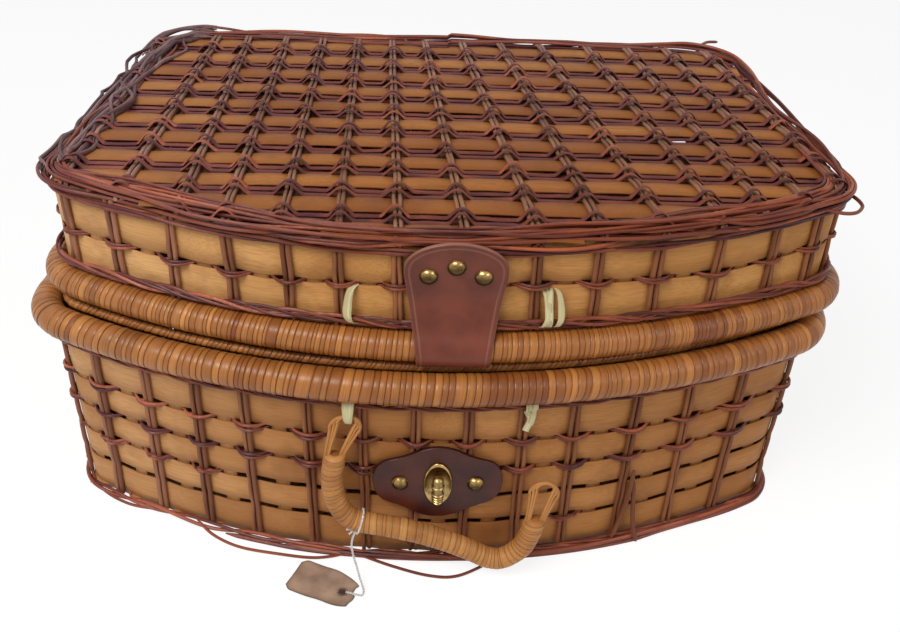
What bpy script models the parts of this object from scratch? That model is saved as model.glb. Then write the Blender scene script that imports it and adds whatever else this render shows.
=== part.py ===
"""Half-moon wicker picnic basket: bottom, hinged lid, leather strap, turn button and loose handle."""

import math

import bmesh
import bpy
from mathutils import Matrix, Vector

# Plan of the basket through the rims' middle: a bowed front, two leaning sides and a straight back
FRONT_HALF_WIDTH = 0.235
BACK_HALF_WIDTH = 0.205
PLAN_DEPTH = 0.300
FRONT_BOW = 0.064
FRONT_CORNER_RADIUS = 0.030
BACK_CORNER_RADIUS = 0.040
FRONT_REACH = 0.160

# How the lid has settled on the bottom
LID_SETBACK = 0.012
LID_SHIFT = 0.008

# Rims
RIM_HEIGHT = 0.138
RIM_RADIUS = 0.0095
INNER_RIM_RADIUS = 0.0033
INNER_RIM_RISE = 0.0062
LID_RIM_RADIUS = 0.0087

# Woven walls and panels
STAKE_PITCH = 0.034
STAKE_RADIUS = 0.0016
SPLINT_FOOT = 0.006
SPLINT_PITCH = 0.022
SPLINT_GAP = 0.0034
WALL_INSET = 0.0060
WALL_THICKNESS = 0.0028
FLOOR_THICKNESS = 0.006
LID_RISE = 0.0707
PANEL_THICKNESS = 0.0035
SLAT_GAP = 0.0016
WEAVER_PAIR_WIDTH = 0.0092
SLOT_MARGIN = 0.004

# Borders and waling
BASE_BORDER_RADIUS = 0.0045
BASE_BORDER_LIFT = 0.0005
LID_BORDER_RADIUS = 0.0058
LID_BORDER_INSET = 0.0050
WALING_RADIUS = 0.0020

# Cane loops of the hinge
HINGE_LOOP_SPACING = 0.110
HINGE_LOOP_WIDTH = 0.009
HINGE_LOOP_THICKNESS = 0.0018
HINGE_LOOP_STEPS = 22

# Leather strap on the lid
STRAP_X = 0.0105
STRAP_TOP_WIDTH = 0.053
STRAP_MIDDLE_WIDTH = 0.040
STRAP_TIP_WIDTH = 0.034
STRAP_LENGTH = 0.158
STRAP_TAPER_LENGTH = 0.085
STRAP_THICKNESS = 0.0020
STRAP_BEND_RADIUS = 0.0040
STRAP_TOP_ROUND = 0.012
STRAP_TIP_ROUND = 0.014
EYELET_WIDTH = 0.013
EYELET_HEIGHT = 0.027
EYELET_FROM_TIP = 0.026

# Brass domes
STUD_RADIUS = 0.0052
STUD_HEIGHT = 0.0030
STRAP_STUD_SPREAD = 0.0145
LOCK_STUD_SPREAD = 0.0223

# Turn lock
LOCK_X = 0.0048
LOCK_HEIGHT = 0.0655
PATCH_LENGTH = 0.078
PATCH_HEIGHT = 0.056
PATCH_THICKNESS = 0.0022
PLATE_WIDTH = 0.0175
PLATE_HEIGHT = 0.033
PLATE_THICKNESS = 0.0014
BUTTON_LENGTH = 0.0210
BUTTON_RADIUS = 0.0038
BUTTON_RIB = 0.0006
BUTTON_STANDOFF = 0.0075
STEM_RADIUS = 0.0022

# Handle of wrapped cane, hanging by its left loop
HANDLE_LEFT = -0.057
HANDLE_SPAN = 0.121
HANDLE_LOW = 0.014
HANDLE_TOP_X = -0.047
HANDLE_LEAN = 0.105
GRIP_RADIUS = 0.0068
LOOP_STRAND_RADIUS = 0.0020
LOOP_HALF_WIDTH = 0.0052
LOOP_SEAT = 0.0008
LEFT_LOOP_RISE = 0.0250
RIGHT_LOOP_RISE = 0.0256
RIGHT_LOOP_LEAN = 0.0050

# Raffia ties
TIE_RADIUS = 0.0012
TIE_PLAY = 0.0004
TIE_SLACK = 0.001837
LID_TIE_WIDTH = 0.006
LOOSE_TIE_X = 0.057
LOOSE_TIE_DROP = 0.020

# Paper tag and its string
TAG_LENGTH = 0.041
TAG_WIDTH = 0.025
TAG_TIP_WIDTH = 0.008
TAG_CLIP = 0.010
TAG_HOLE_FROM_TIP = 0.007
TAG_THICKNESS = 0.0008
TAG_HOLE_RADIUS = 0.0022
TAG_X = -0.0633
TAG_Y = -0.1822
TAG_TURN = math.radians(-24.5)
STRING_RADIUS = 0.0008

# Fit and drawing steps
CLEARANCE = 0.0003
NOTCH_PLAY = 0.0012
ARC_STEP = math.radians(12)
LOOP_STEPS = 6
WELD = 0.000001


def new_material(name, colour, roughness, metallic=0.0):
    material = bpy.data.materials.new(name)
    material.use_nodes = True
    shader = material.node_tree.nodes["Principled BSDF"]
    shader.inputs["Base Color"].default_value = (*colour, 1.0)
    shader.inputs["Roughness"].default_value = roughness
    shader.inputs["Metallic"].default_value = metallic
    return material


def add(name, data, material, parent=None):
    """Links a mesh or a curve as one named sub-part."""
    obj = bpy.data.objects.new(name, data)
    bpy.context.scene.collection.objects.link(obj)
    obj.data.materials.append(material)
    if parent:
        obj.parent = parent
        obj.matrix_parent_inverse = Matrix.Translation(-parent.location)
    return obj


def add_pivot(name, place):
    """An empty on a joint's axis, which carries the moving pieces."""
    pivot = bpy.data.objects.new(name, None)
    pivot.location = place
    bpy.context.scene.collection.objects.link(pivot)
    return pivot


# Plan outline

# Places of the stake pairs seen in front, as shares of half the way round from the middle of the front
BOTTOM_STAKE_SHARES = (
    -0.3677, -0.3148, -0.2618, -0.2115, -0.1645, -0.1075, -0.0588, -0.0134,
    0.0319, 0.0805, 0.1267, 0.1829, 0.2367, 0.2926, 0.3617,
)
LID_STAKE_SHARES = (
    -0.3453, -0.2947, -0.2382, -0.1853, -0.1348, -0.0921, -0.0435, 0.0136,
    0.0700, 0.1212, 0.1741, 0.2314, 0.2891, 0.3341, 0.3788,
)


class Arc:
    """A turn to the left about a centre, from one heading to another."""

    def __init__(self, centre, radius, start, end):
        self.centre = Vector(centre)
        self.radius = radius
        self.start = start
        self.length = radius * (end - start)
        self.steps = math.ceil((end - start) / ARC_STEP)

    def at(self, distance, inset):
        heading = self.start + distance / self.radius
        outward = Vector((math.sin(heading), -math.cos(heading)))
        return self.centre + outward * (self.radius - inset), outward


class Run:
    """A straight stretch along one heading."""

    def __init__(self, start, heading, length):
        self.start = Vector(start)
        self.heading = heading
        self.length = length
        self.steps = 1

    def at(self, distance, inset):
        along = Vector((math.cos(self.heading), math.sin(self.heading)))
        outward = Vector((along.y, -along.x))
        return self.start + along * distance - outward * inset, outward


class Plan:
    """Half-moon outline, measured from the middle of the front, first round the right-hand half."""

    def __init__(self, depth, front_y, shift, stake_shares):
        self.place = Vector((shift, front_y))
        self.front_y = front_y
        self.back_y = front_y + depth
        self.bow_radius = (FRONT_HALF_WIDTH**2 + FRONT_BOW**2) / (2 * FRONT_BOW)
        side = Vector((BACK_HALF_WIDTH - FRONT_HALF_WIDTH, depth - FRONT_BOW))
        lean = math.atan2(side.y, side.x)
        side.normalize()
        inward = Vector((-side.y, side.x))
        # The front corner touches the side from within and the bow from within
        near = Vector((FRONT_HALF_WIDTH, FRONT_BOW)) + inward * FRONT_CORNER_RADIUS
        offset = near - Vector((0.0, self.bow_radius))
        along = offset.dot(side)
        room = offset.length_squared - (self.bow_radius - FRONT_CORNER_RADIUS) ** 2
        root = math.sqrt(along**2 - room)
        corner = near + side * min(-along - root, -along + root, key=abs)
        bow_end = math.atan2(corner.x, self.bow_radius - corner.y)
        side_start = corner - inward * FRONT_CORNER_RADIUS
        back_corner = Vector((BACK_HALF_WIDTH, depth))
        trim = BACK_CORNER_RADIUS * math.tan((math.pi - lean) / 2)
        side_end = back_corner - side * trim
        back_centre = side_end + inward * BACK_CORNER_RADIUS
        back_start = Vector((back_centre.x, depth))
        self.pieces = [
            Arc((0.0, self.bow_radius), self.bow_radius, 0.0, bow_end),
            Arc(corner, FRONT_CORNER_RADIUS, bow_end, lean),
            Run(side_start, lean, (side_end - side_start).length),
            Arc(back_centre, BACK_CORNER_RADIUS, lean, math.pi),
            Run(back_start, math.pi, back_start.x),
        ]
        self.half = sum(piece.length for piece in self.pieces)
        self.stake_shares = stake_shares

    def at(self, distance, inset):
        """Point and outward direction at a distance round the outline. The left half mirrors the right."""
        distance %= 2 * self.half
        mirrored = distance > self.half
        left = 2 * self.half - distance if mirrored else distance
        for piece in self.pieces:
            if left <= piece.length or piece is self.pieces[-1]:
                break
            left -= piece.length
        point, outward = piece.at(left, inset)
        if mirrored:
            point.x = -point.x
            outward.x = -outward.x
        return point + self.place, outward

    def stakes(self):
        """Distances of the wall's stake pairs: those seen in front, and the rest at an even pitch."""
        seen = [share * self.half for share in self.stake_shares]
        rest = 2 * self.half + seen[0] - seen[-1]
        count = round(rest / STAKE_PITCH)
        hidden = [seen[-1] + rest * index / count for index in range(1, count)]
        return sorted(distance % (2 * self.half) for distance in seen + hidden)

    def stations(self):
        """Where a tube round the outline has a point: at the bow's stakes and the corners' turns."""
        before = self.pieces[0].length
        bow = [distance for distance in self.stakes() if min(distance, 2 * self.half - distance) < before]
        turns = []
        for piece in self.pieces[1:]:
            for step in range(piece.steps):
                turns.append(before + piece.length * step / piece.steps)
            before += piece.length
        return sorted(bow + turns + [2 * self.half - distance for distance in turns])

    def ring(self, inset):
        return [self.at(distance, inset)[0] for distance in self.stations()]

    def sag(self, x):
        """How far the bowed front has drawn back at this X."""
        return self.bow_radius - math.sqrt(self.bow_radius**2 - (x - self.place.x) ** 2)


def crossing(ring, start, along):
    """Distance from a point within a closed ring to the ring, in one direction."""
    nearest = math.inf
    for first, second in zip(ring, ring[1:] + ring[:1]):
        edge = second - first
        turn = along.x * edge.y - along.y * edge.x
        if turn == 0:
            continue
        gap = first - start
        distance = (gap.x * edge.y - gap.y * edge.x) / turn
        share = (gap.x * along.y - gap.y * along.x) / turn
        if 0 <= share <= 1 and 0 < distance < nearest:
            nearest = distance
    return nearest


# Shapes


def poly_curve(points, radius, resolution, closed, weights=None):
    """A round tube through 3-D points, as a curve with a bevel."""
    curve = bpy.data.curves.new("tube", "CURVE")
    curve.dimensions = "3D"
    curve.bevel_depth = radius
    curve.bevel_resolution = resolution
    curve.use_fill_caps = not closed
    spline = curve.splines.new("POLY")
    spline.points.add(len(points) - 1)
    for index, point in enumerate(points):
        spline.points[index].co = (*point, 1.0)
        spline.points[index].radius = weights[index] if weights else 1.0
    spline.use_cyclic_u = closed
    return curve


def mesh_of(data):
    """The welded mesh that Blender makes from a curve."""
    helper = bpy.data.objects.new("helper", data)
    bpy.context.scene.collection.objects.link(helper)
    graph = bpy.context.evaluated_depsgraph_get()
    mesh = bpy.data.meshes.new_from_object(helper.evaluated_get(graph))
    bpy.data.objects.remove(helper)
    body = bmesh.new()
    body.from_mesh(mesh)
    bmesh.ops.remove_doubles(body, verts=body.verts, dist=WELD)
    bmesh.ops.recalc_face_normals(body, faces=body.faces)
    body.to_mesh(mesh)
    body.free()
    return mesh


def prism(loops, low, high):
    """A flat outline with holes, drawn as a 2-D curve and extruded from one height to another."""
    curve = bpy.data.curves.new("prism", "CURVE")
    curve.dimensions = "2D"
    curve.fill_mode = "BOTH"
    curve.extrude = (high - low) / 2
    for loop in loops:
        spline = curve.splines.new("POLY")
        spline.points.add(len(loop) - 1)
        for index, point in enumerate(loop):
            spline.points[index].co = (point[0], point[1], 0.0, 1.0)
        spline.use_cyclic_u = True
    mesh = mesh_of(curve)
    mesh.transform(Matrix.Translation((0.0, 0.0, (high + low) / 2)))
    return mesh


def add_sheet(name, rows, thickness, material, parent=None):
    """A thin leather piece: a grid of rows, whose middle cell a hole can leave out, thickened both ways."""
    body = bmesh.new()
    grid = [[body.verts.new(point) for point in row] for row, _ in rows]
    for index, (upper, lower) in enumerate(zip(grid, grid[1:])):
        for column in range(len(upper) - 1):
            if rows[index][1] and column == (len(upper) - 1) // 2:
                continue
            corners = (upper[column], upper[column + 1], lower[column + 1], lower[column])
            body.faces.new(corners)
    for vert in [vert for vert in body.verts if not vert.link_faces]:
        body.verts.remove(vert)
    bmesh.ops.remove_doubles(body, verts=body.verts, dist=WELD)
    bmesh.ops.recalc_face_normals(body, faces=body.faces)
    mesh = bpy.data.meshes.new(name)
    body.to_mesh(mesh)
    body.free()
    obj = add(name, mesh, material, parent)
    solidify = obj.modifiers.new("thickness", "SOLIDIFY")
    solidify.thickness = thickness
    solidify.offset = 0.0
    solidify.use_even_offset = True
    return obj


def turned(profile, sides):
    """A turned solid about Z from (radius, height) points that start and end on the axis."""
    body = bmesh.new()
    rings = []
    for radius, height in profile:
        if radius == 0:
            rings.append([body.verts.new((0.0, 0.0, height))])
            continue
        angles = [2 * math.pi * side / sides for side in range(sides)]
        rings.append([body.verts.new((radius * math.cos(a), radius * math.sin(a), height)) for a in angles])
    for lower, upper in zip(rings, rings[1:]):
        for side in range(sides):
            corners = {lower[side % len(lower)]: 0, lower[(side + 1) % len(lower)]: 0}
            corners.update({upper[(side + 1) % len(upper)]: 0, upper[side % len(upper)]: 0})
            body.faces.new(list(corners))
    bmesh.ops.recalc_face_normals(body, faces=body.faces)
    mesh = bpy.data.meshes.new("turned")
    body.to_mesh(mesh)
    body.free()
    return mesh


def cut(obj, mesh, operation="DIFFERENCE", solver="EXACT"):
    """Applies a Boolean with a helper mesh to an object's own mesh."""
    helper = bpy.data.objects.new("cutter", mesh)
    helper.hide_render = True
    helper.display_type = "WIRE"
    bpy.context.scene.collection.objects.link(helper)
    modifier = obj.modifiers.new("cut", "BOOLEAN")
    modifier.operation = operation
    modifier.solver = solver
    modifier.object = helper
    graph = bpy.context.evaluated_depsgraph_get()
    result = bpy.data.meshes.new_from_object(obj.evaluated_get(graph))
    obj.modifiers.remove(modifier)
    bpy.data.objects.remove(helper)
    obj.data = result


def joined(meshes):
    """Several meshes as one."""
    body = bmesh.new()
    for mesh in meshes:
        body.from_mesh(mesh)
    result = bpy.data.meshes.new("joined")
    body.to_mesh(result)
    body.free()
    return result


def smooth_route(points, per_span):
    """A Catmull-Rom curve through the points, so that a bent piece has no kinks."""
    ends = [2 * points[0] - points[1], *points, 2 * points[-1] - points[-2]]
    route = []
    for a, b, c, d in zip(ends, ends[1:], ends[2:], ends[3:]):
        for step in range(per_span):
            t = step / per_span
            bend = (2 * a - 5 * b + 4 * c - d) * t**2 + (3 * b - a - 3 * c + d) * t**3
            route.append((2 * b + (c - a) * t + bend) / 2)
    return [*route, points[-1]]


# Heights and places that follow from the sizes
STAKE_PAIR_SHARE = 1.6
RIB_INSET = WALL_INSET - STAKE_PAIR_SHARE * STAKE_RADIUS
INNER_RIM_INSET = RIM_RADIUS + INNER_RIM_RADIUS + CLEARANCE
INNER_RIM_HEIGHT = RIM_HEIGHT + INNER_RIM_RISE
STRAP_LEVEL = INNER_RIM_HEIGHT + INNER_RIM_RADIUS + CLEARANCE + STRAP_THICKNESS / 2
LID_RIM_HEIGHT = STRAP_LEVEL + STRAP_THICKNESS / 2 + CLEARANCE + LID_RIM_RADIUS
LID_BORDER_HEIGHT = LID_RIM_HEIGHT + LID_RISE - LID_BORDER_RADIUS
BASE_BORDER_INSET = RIB_INSET - BASE_BORDER_RADIUS - CLEARANCE
BASE_BORDER_HEIGHT = BASE_BORDER_RADIUS + BASE_BORDER_LIFT
WALING_INSET = RIB_INSET - WALING_RADIUS - CLEARANCE
HINGE_LOOP_REACH = CLEARANCE + HINGE_LOOP_THICKNESS
WALING_HEIGHT = RIM_HEIGHT - RIM_RADIUS - HINGE_LOOP_REACH - WALING_RADIUS - CLEARANCE
LID_WALING_HEIGHT = LID_RIM_HEIGHT + LID_RIM_RADIUS + HINGE_LOOP_REACH + WALING_RADIUS + NOTCH_PLAY
WALL_INNER_INSET = WALL_INSET + WALL_THICKNESS

BOTTOM_PLAN = Plan(PLAN_DEPTH, -FRONT_REACH, 0.0, BOTTOM_STAKE_SHARES)
LID_PLAN = Plan(PLAN_DEPTH - LID_SETBACK, LID_SETBACK - FRONT_REACH, LID_SHIFT, LID_STAKE_SHARES)
HINGE_Y = BOTTOM_PLAN.back_y
TIE_WALL_Y = -FRONT_REACH + RIB_INSET + BOTTOM_PLAN.sag(HANDLE_TOP_X)
HANDLE_Y = TIE_WALL_Y - CLEARANCE - 2 * TIE_RADIUS - TIE_PLAY - LOOP_STRAND_RADIUS
TIE_LINK_RADIUS = LOOP_STRAND_RADIUS + TIE_PLAY + TIE_RADIUS
TIE_REACH = TIE_LINK_RADIUS + TIE_RADIUS + CLEARANCE
TIE_OFFSET = TIE_WALL_Y - RIB_INSET + WALING_INSET - HANDLE_Y
TIE_TOP = WALING_HEIGHT - WALING_RADIUS - math.sqrt(TIE_REACH**2 - TIE_OFFSET**2)
HANDLE_TOP_HEIGHT = TIE_TOP - TIE_SLACK
HANDLE_DROP = HANDLE_TOP_HEIGHT - LEFT_LOOP_RISE - HANDLE_LOW
PATCH_INSET = RIB_INSET - CLEARANCE - PATCH_THICKNESS / 2
LOCK_FACE_Y = -FRONT_REACH + PATCH_INSET - PATCH_THICKNESS / 2 - CLEARANCE


def clear_of_rim(rim_radius, inset):
    """Height above or below a rim's middle at which a wall of this inset just clears the rim."""
    return math.sqrt((rim_radius + CLEARANCE) ** 2 - inset**2)


# Walls, floor and lid panel

# A pair of round stakes in section, as shares of their radius: along the wall and out from it
STAKE_RIB_SHARES = ((-1.9, 0.0), (-1.0, STAKE_PAIR_SHARE), (0.0, 0.6), (1.0, STAKE_PAIR_SHARE), (1.9, 0.0))


class WallMesh:
    """A wall as upright posts of points with flat faces between them, open where the slots are."""

    def __init__(self, plan, low, high, gaps):
        self.plan = plan
        self.ends = [low, high]
        self.slots = [(gap - SPLINT_GAP / 2, gap + SPLINT_GAP / 2) for gap in gaps]
        self.levels = sorted([low, high, *[level for slot in self.slots for level in slot]])
        self.body = bmesh.new()

    def post(self, distance, inset, heights):
        point = self.plan.at(distance, inset)[0]
        return {height: self.body.verts.new((*point, height)) for height in heights}

    def face(self, left, right, low, high):
        rising = [left[height] for height in sorted(left) if low <= height <= high]
        falling = [right[height] for height in sorted(right, reverse=True) if low <= height <= high]
        self.body.faces.new(rising + falling)

    def stake(self, centre):
        """A solid stretch behind a stake pair, whose rib stands proud. Returns its outer and inner end posts."""
        outer = []
        for along, out in STAKE_RIB_SHARES:
            heights = self.ends if out else self.levels
            outer.append(self.post(centre + along * STAKE_RADIUS, WALL_INSET - out * STAKE_RADIUS, heights))
        reach = STAKE_RIB_SHARES[-1][0] * STAKE_RADIUS
        inner = [self.post(centre + side * reach, WALL_INNER_INSET, self.levels) for side in (-1, 1)]
        for left, right in zip(outer, outer[1:]):
            self.face(left, right, *self.ends)
        self.face(*inner, *self.ends)
        for height in self.ends:
            self.body.faces.new([post[height] for post in outer + inner[::-1]])
        return (outer[0], inner[0]), (outer[-1], inner[-1])

    def span(self, posts, slots):
        """The splints between two stakes, with slots between the rows."""
        edges = [self.ends[0], *[level for slot in slots for level in slot], self.ends[1]]
        for (left, left_in), (right, right_in) in zip(posts, posts[1:]):
            for low, high in zip(edges[::2], edges[1::2]):
                self.face(left, right, low, high)
                self.face(left_in, right_in, low, high)
            for height in edges:
                self.body.faces.new((left[height], right[height], right_in[height], left_in[height]))
        for outer, inner in (posts[0], posts[-1]):
            for low, high in slots:
                self.body.faces.new((outer[low], outer[high], inner[high], inner[low]))

    def mesh(self):
        bmesh.ops.recalc_face_normals(self.body, faces=self.body.faces)
        mesh = bpy.data.meshes.new("wall")
        self.body.to_mesh(mesh)
        self.body.free()
        return mesh


def wall_mesh(plan, low, high, gaps):
    """A wall round the plan. The spans that turn a corner stay closed."""
    wall = WallMesh(plan, low, high, gaps)
    stakes = plan.stakes()
    ends = [wall.stake(centre) for centre in stakes]
    reach = (STAKE_RIB_SHARES[-1][0] + 1) * STAKE_RADIUS
    for index, (first, second) in enumerate(zip(stakes, stakes[1:] + [stakes[0] + 2 * plan.half])):
        turns = [turn for turn in plan.stations() if first + reach < turn < second - reach]
        slots = wall.slots if len(turns) < 2 else []
        heights = wall.levels if slots else wall.ends
        posts = [ends[index][1]]
        for turn in turns:
            posts.append((wall.post(turn, WALL_INSET, heights), wall.post(turn, WALL_INNER_INSET, heights)))
        posts.append(ends[(index + 1) % len(stakes)][0])
        wall.span(posts, slots)
    return wall.mesh()


def hinge_notches(height, rim_radius):
    """Round cutters about a rim's back run, where the cane loops pass the wall."""
    radius = rim_radius + HINGE_LOOP_REACH + NOTCH_PLAY
    width = HINGE_LOOP_WIDTH + 2 * NOTCH_PLAY
    meshes = []
    for side in (-1, 0, 1):
        side_face = width / 2
        mesh = turned([(0.0, -side_face), (radius, -side_face), (radius, side_face), (0.0, side_face)], 24)
        mesh.transform(Matrix.Rotation(math.pi / 2, 4, "Y"))
        mesh.transform(Matrix.Translation((side * HINGE_LOOP_SPACING, HINGE_Y, height)))
        meshes.append(mesh)
    return joined(meshes)


def build_wall(name, plan, low, high, gaps, rim_height, rim_radius, material, parent=None):
    wall = add(name, wall_mesh(plan, low, high, gaps), material, parent)
    cut(wall, hinge_notches(rim_height, rim_radius), solver="MANIFOLD")
    return wall


# Rows of slats, as shares of the lid's depth, and stake pairs, as shares of its half width at the middle
SLAT_ROW_SHARES = (0.040, 0.1355, 0.2275, 0.311, 0.3995, 0.488, 0.571, 0.653, 0.7395, 0.8315, 0.920)
TOP_STAKE_SHARES = (
    -0.892, -0.771, -0.639, -0.511, -0.392, -0.266, -0.141, -0.009,
    0.128, 0.266, 0.4095, 0.559, 0.705, 0.841, 0.9425,
)


def lid_stake_lines():
    """The stake pairs of the lid's top, which fan a little: place at the middle, direction."""
    middle = (LID_PLAN.front_y + FRONT_BOW + LID_PLAN.back_y) / 2
    widest = (FRONT_HALF_WIDTH + BACK_HALF_WIDTH) / 2
    lines = []
    for share in TOP_STAKE_SHARES:
        fan = (FRONT_HALF_WIDTH - BACK_HALF_WIDTH) * share
        along = Vector((fan, FRONT_BOW - PLAN_DEPTH + LID_SETBACK)).normalized()
        lines.append((Vector((LID_SHIFT + share * widest, middle)), along))
    return lines


def build_lid_panel(material, parent):
    """The lid's top as slats and bands of weavers from side to side, with open slots between them."""
    inset = LID_BORDER_INSET + LID_BORDER_RADIUS + CLEARANCE
    loops = [LID_PLAN.ring(inset)]
    room = LID_PLAN.ring(inset + SLOT_MARGIN)
    rows = [LID_PLAN.front_y + share * (PLAN_DEPTH - LID_SETBACK) for share in SLAT_ROW_SHARES]
    for row, after in zip(rows, rows[1:]):
        near_edge = (row + after - WEAVER_PAIR_WIDTH) / 2
        far_edge = near_edge + WEAVER_PAIR_WIDTH
        for near, far in ((near_edge - SLAT_GAP, near_edge), (far_edge, far_edge + SLAT_GAP)):
            corners = []
            for y, side in ((near, -1), (near, 1), (far, 1), (far, -1)):
                start = Vector((LID_SHIFT, y))
                way = Vector((side, 0.0))
                corners.append(start + way * crossing(room, start, way))
            loops.append(corners)
    low = LID_BORDER_HEIGHT - PANEL_THICKNESS / 2
    return add("lid_panel", prism(loops, low, low + PANEL_THICKNESS), material, parent)


def build_lid_border(material, parent):
    """The lid's plaited edge, with the stake pairs of the top running into it."""
    ring = LID_PLAN.ring(LID_BORDER_INSET)
    tube = poly_curve([(*point, LID_BORDER_HEIGHT) for point in ring], LID_BORDER_RADIUS, 2, True)
    border = add("lid_border", mesh_of(tube), material, parent)
    height = LID_BORDER_HEIGHT + PANEL_THICKNESS / 2 + CLEARANCE + STAKE_RADIUS
    stakes = []
    for place, along in lid_stake_lines():
        ends = []
        for way in (along, -along):
            end = place + way * crossing(ring, place, way)
            ends.append((*end, height))
        run = Vector(ends[1]) - Vector(ends[0])
        stake = prism([oval(2 * STAKE_RADIUS, STAKE_RADIUS, 8)], 0.0, run.length)
        stake.transform(run.to_track_quat("Z", "Y").to_matrix().to_4x4())
        stake.transform(Matrix.Translation(ends[0]))
        stakes.append(stake)
    cut(border, joined(stakes), "UNION")
    return border


def oval(half_width, half_height, count):
    angles = [2 * math.pi * index / count for index in range(count)]
    return [Vector((half_width * math.cos(angle), half_height * math.sin(angle))) for angle in angles]


def build_ring(name, plan, inset, height, radius, resolution, material, parent=None):
    points = [(*point, height) for point in plan.ring(inset)]
    return add(name, poly_curve(points, radius, resolution, True), material, parent)


# Hinge


def build_hinge_loop(name, x, material):
    """A flat cane band drawn tight round all three rims at the back, extruded along X."""
    rims = (
        (Vector((HINGE_Y, RIM_HEIGHT)), RIM_RADIUS),
        (Vector((HINGE_Y - INNER_RIM_INSET, INNER_RIM_HEIGHT)), INNER_RIM_RADIUS),
        (Vector((HINGE_Y, LID_RIM_HEIGHT)), LID_RIM_RADIUS),
    )
    loops = []
    for extra in (HINGE_LOOP_REACH, CLEARANCE):
        loop = []
        for step in range(HINGE_LOOP_STEPS):
            angle = 2 * math.pi * step / HINGE_LOOP_STEPS
            away = Vector((math.cos(angle), math.sin(angle)))
            centre, radius = max(rims, key=lambda rim: rim[0].dot(away) + rim[1])
            corner = centre + away * (radius + extra)
            loop.append((-corner.y, corner.x))
        loops.append(loop)
    mesh = prism(loops, -HINGE_LOOP_WIDTH / 2, HINGE_LOOP_WIDTH / 2)
    mesh.transform(Matrix.Rotation(math.pi / 2, 4, "Y"))
    mesh.transform(Matrix.Translation((x, 0.0, 0.0)))
    return add(name, mesh, material)


# Strap and its domes

STRAP_TOP_SHARES = (0.0, 0.03, 0.1, 0.22, 0.38, 0.6, 0.8)
STRAP_FOOT_SHARE = 0.31
STRAP_STUD_SHARE = 0.63
STRAP_MIDDLE_STUD_SHARE = 0.76
STRAP_TOP_SHARE = 0.6
STRAP_TIP_SHARE = 0.5
EYELET_END_SHARE = 0.15


def on_lid_wall(share):
    """A height between the lid's waling and its border."""
    low = LID_WALING_HEIGHT + WALING_RADIUS
    return low + (LID_BORDER_HEIGHT - low) * share


def strap_upper_run():
    """Ends, in Y and Z, of the strap's straight upper run: from the border's bulge down to the stakes."""
    half = STRAP_THICKNESS / 2
    border = Vector((LID_PLAN.front_y + LID_BORDER_INSET, LID_BORDER_HEIGHT))
    foot = Vector((LID_PLAN.front_y + RIB_INSET - CLEARANCE - half, on_lid_wall(STRAP_FOOT_SHARE)))
    reach = LID_BORDER_RADIUS + CLEARANCE + half
    below = foot - border
    meeting = math.atan2(below.y, below.x) - math.acos(reach / below.length)
    return border + Vector((math.cos(meeting), math.sin(meeting))) * reach, foot


def strap_route():
    """The strap's middle line in Y and Z: down the lid, over and under the lid's rim, then down inside."""
    half = STRAP_THICKNESS / 2
    front = LID_PLAN.front_y
    over_waling = front + WALING_INSET - WALING_RADIUS - CLEARANCE - half
    reach = LID_RIM_RADIUS + CLEARANCE + half
    top, foot = strap_upper_run()
    straight = [top.lerp(foot, share) for share in STRAP_TOP_SHARES]
    points = [foot, Vector((over_waling, LID_WALING_HEIGHT + WALING_RADIUS))]
    rim = Vector((front, LID_RIM_HEIGHT))
    last = points[-1] - rim
    meeting = math.atan2(last.y, last.x) + math.acos(reach / last.length)
    points.append(rim + Vector((math.cos(meeting), math.sin(meeting))) * reach)
    route = straight + smooth_route(points, 3)[:-1]
    for step in range(7):
        angle = meeting + (1.5 * math.pi - meeting) * step / 6
        route.append(rim + Vector((math.cos(angle), math.sin(angle))) * reach)
    far_edge = STRAP_X + STRAP_MIDDLE_WIDTH / 2
    inner_face = INNER_RIM_INSET + INNER_RIM_RADIUS - FRONT_REACH + BOTTOM_PLAN.sag(far_edge)
    swing = HINGE_Y - (inner_face + CLEARANCE + half) - CLEARANCE
    bend = Vector((HINGE_Y - swing - STRAP_BEND_RADIUS, STRAP_LEVEL - STRAP_BEND_RADIUS))
    for step in range(1, 5):
        angle = math.pi / 2 - (math.pi / 2) * step / 5
        route.append(bend + Vector((math.cos(angle), math.sin(angle))) * STRAP_BEND_RADIUS)
    first = math.asin((LID_RIM_HEIGHT - bend.y) / swing)
    used = sum((b - a).length for a, b in zip(route, route[1:]))
    for step in range(10):
        angle = first + (STRAP_LENGTH - used) * step / (9 * swing)
        route.append(Vector((HINGE_Y - swing * math.cos(angle), LID_RIM_HEIGHT - swing * math.sin(angle))))
    return route


def rounded(share, narrowest):
    """Width share at an end that is rounded off like a quarter of an oval."""
    return narrowest + (1 - narrowest) * math.sqrt(1 - (1 - share) ** 2)


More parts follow.
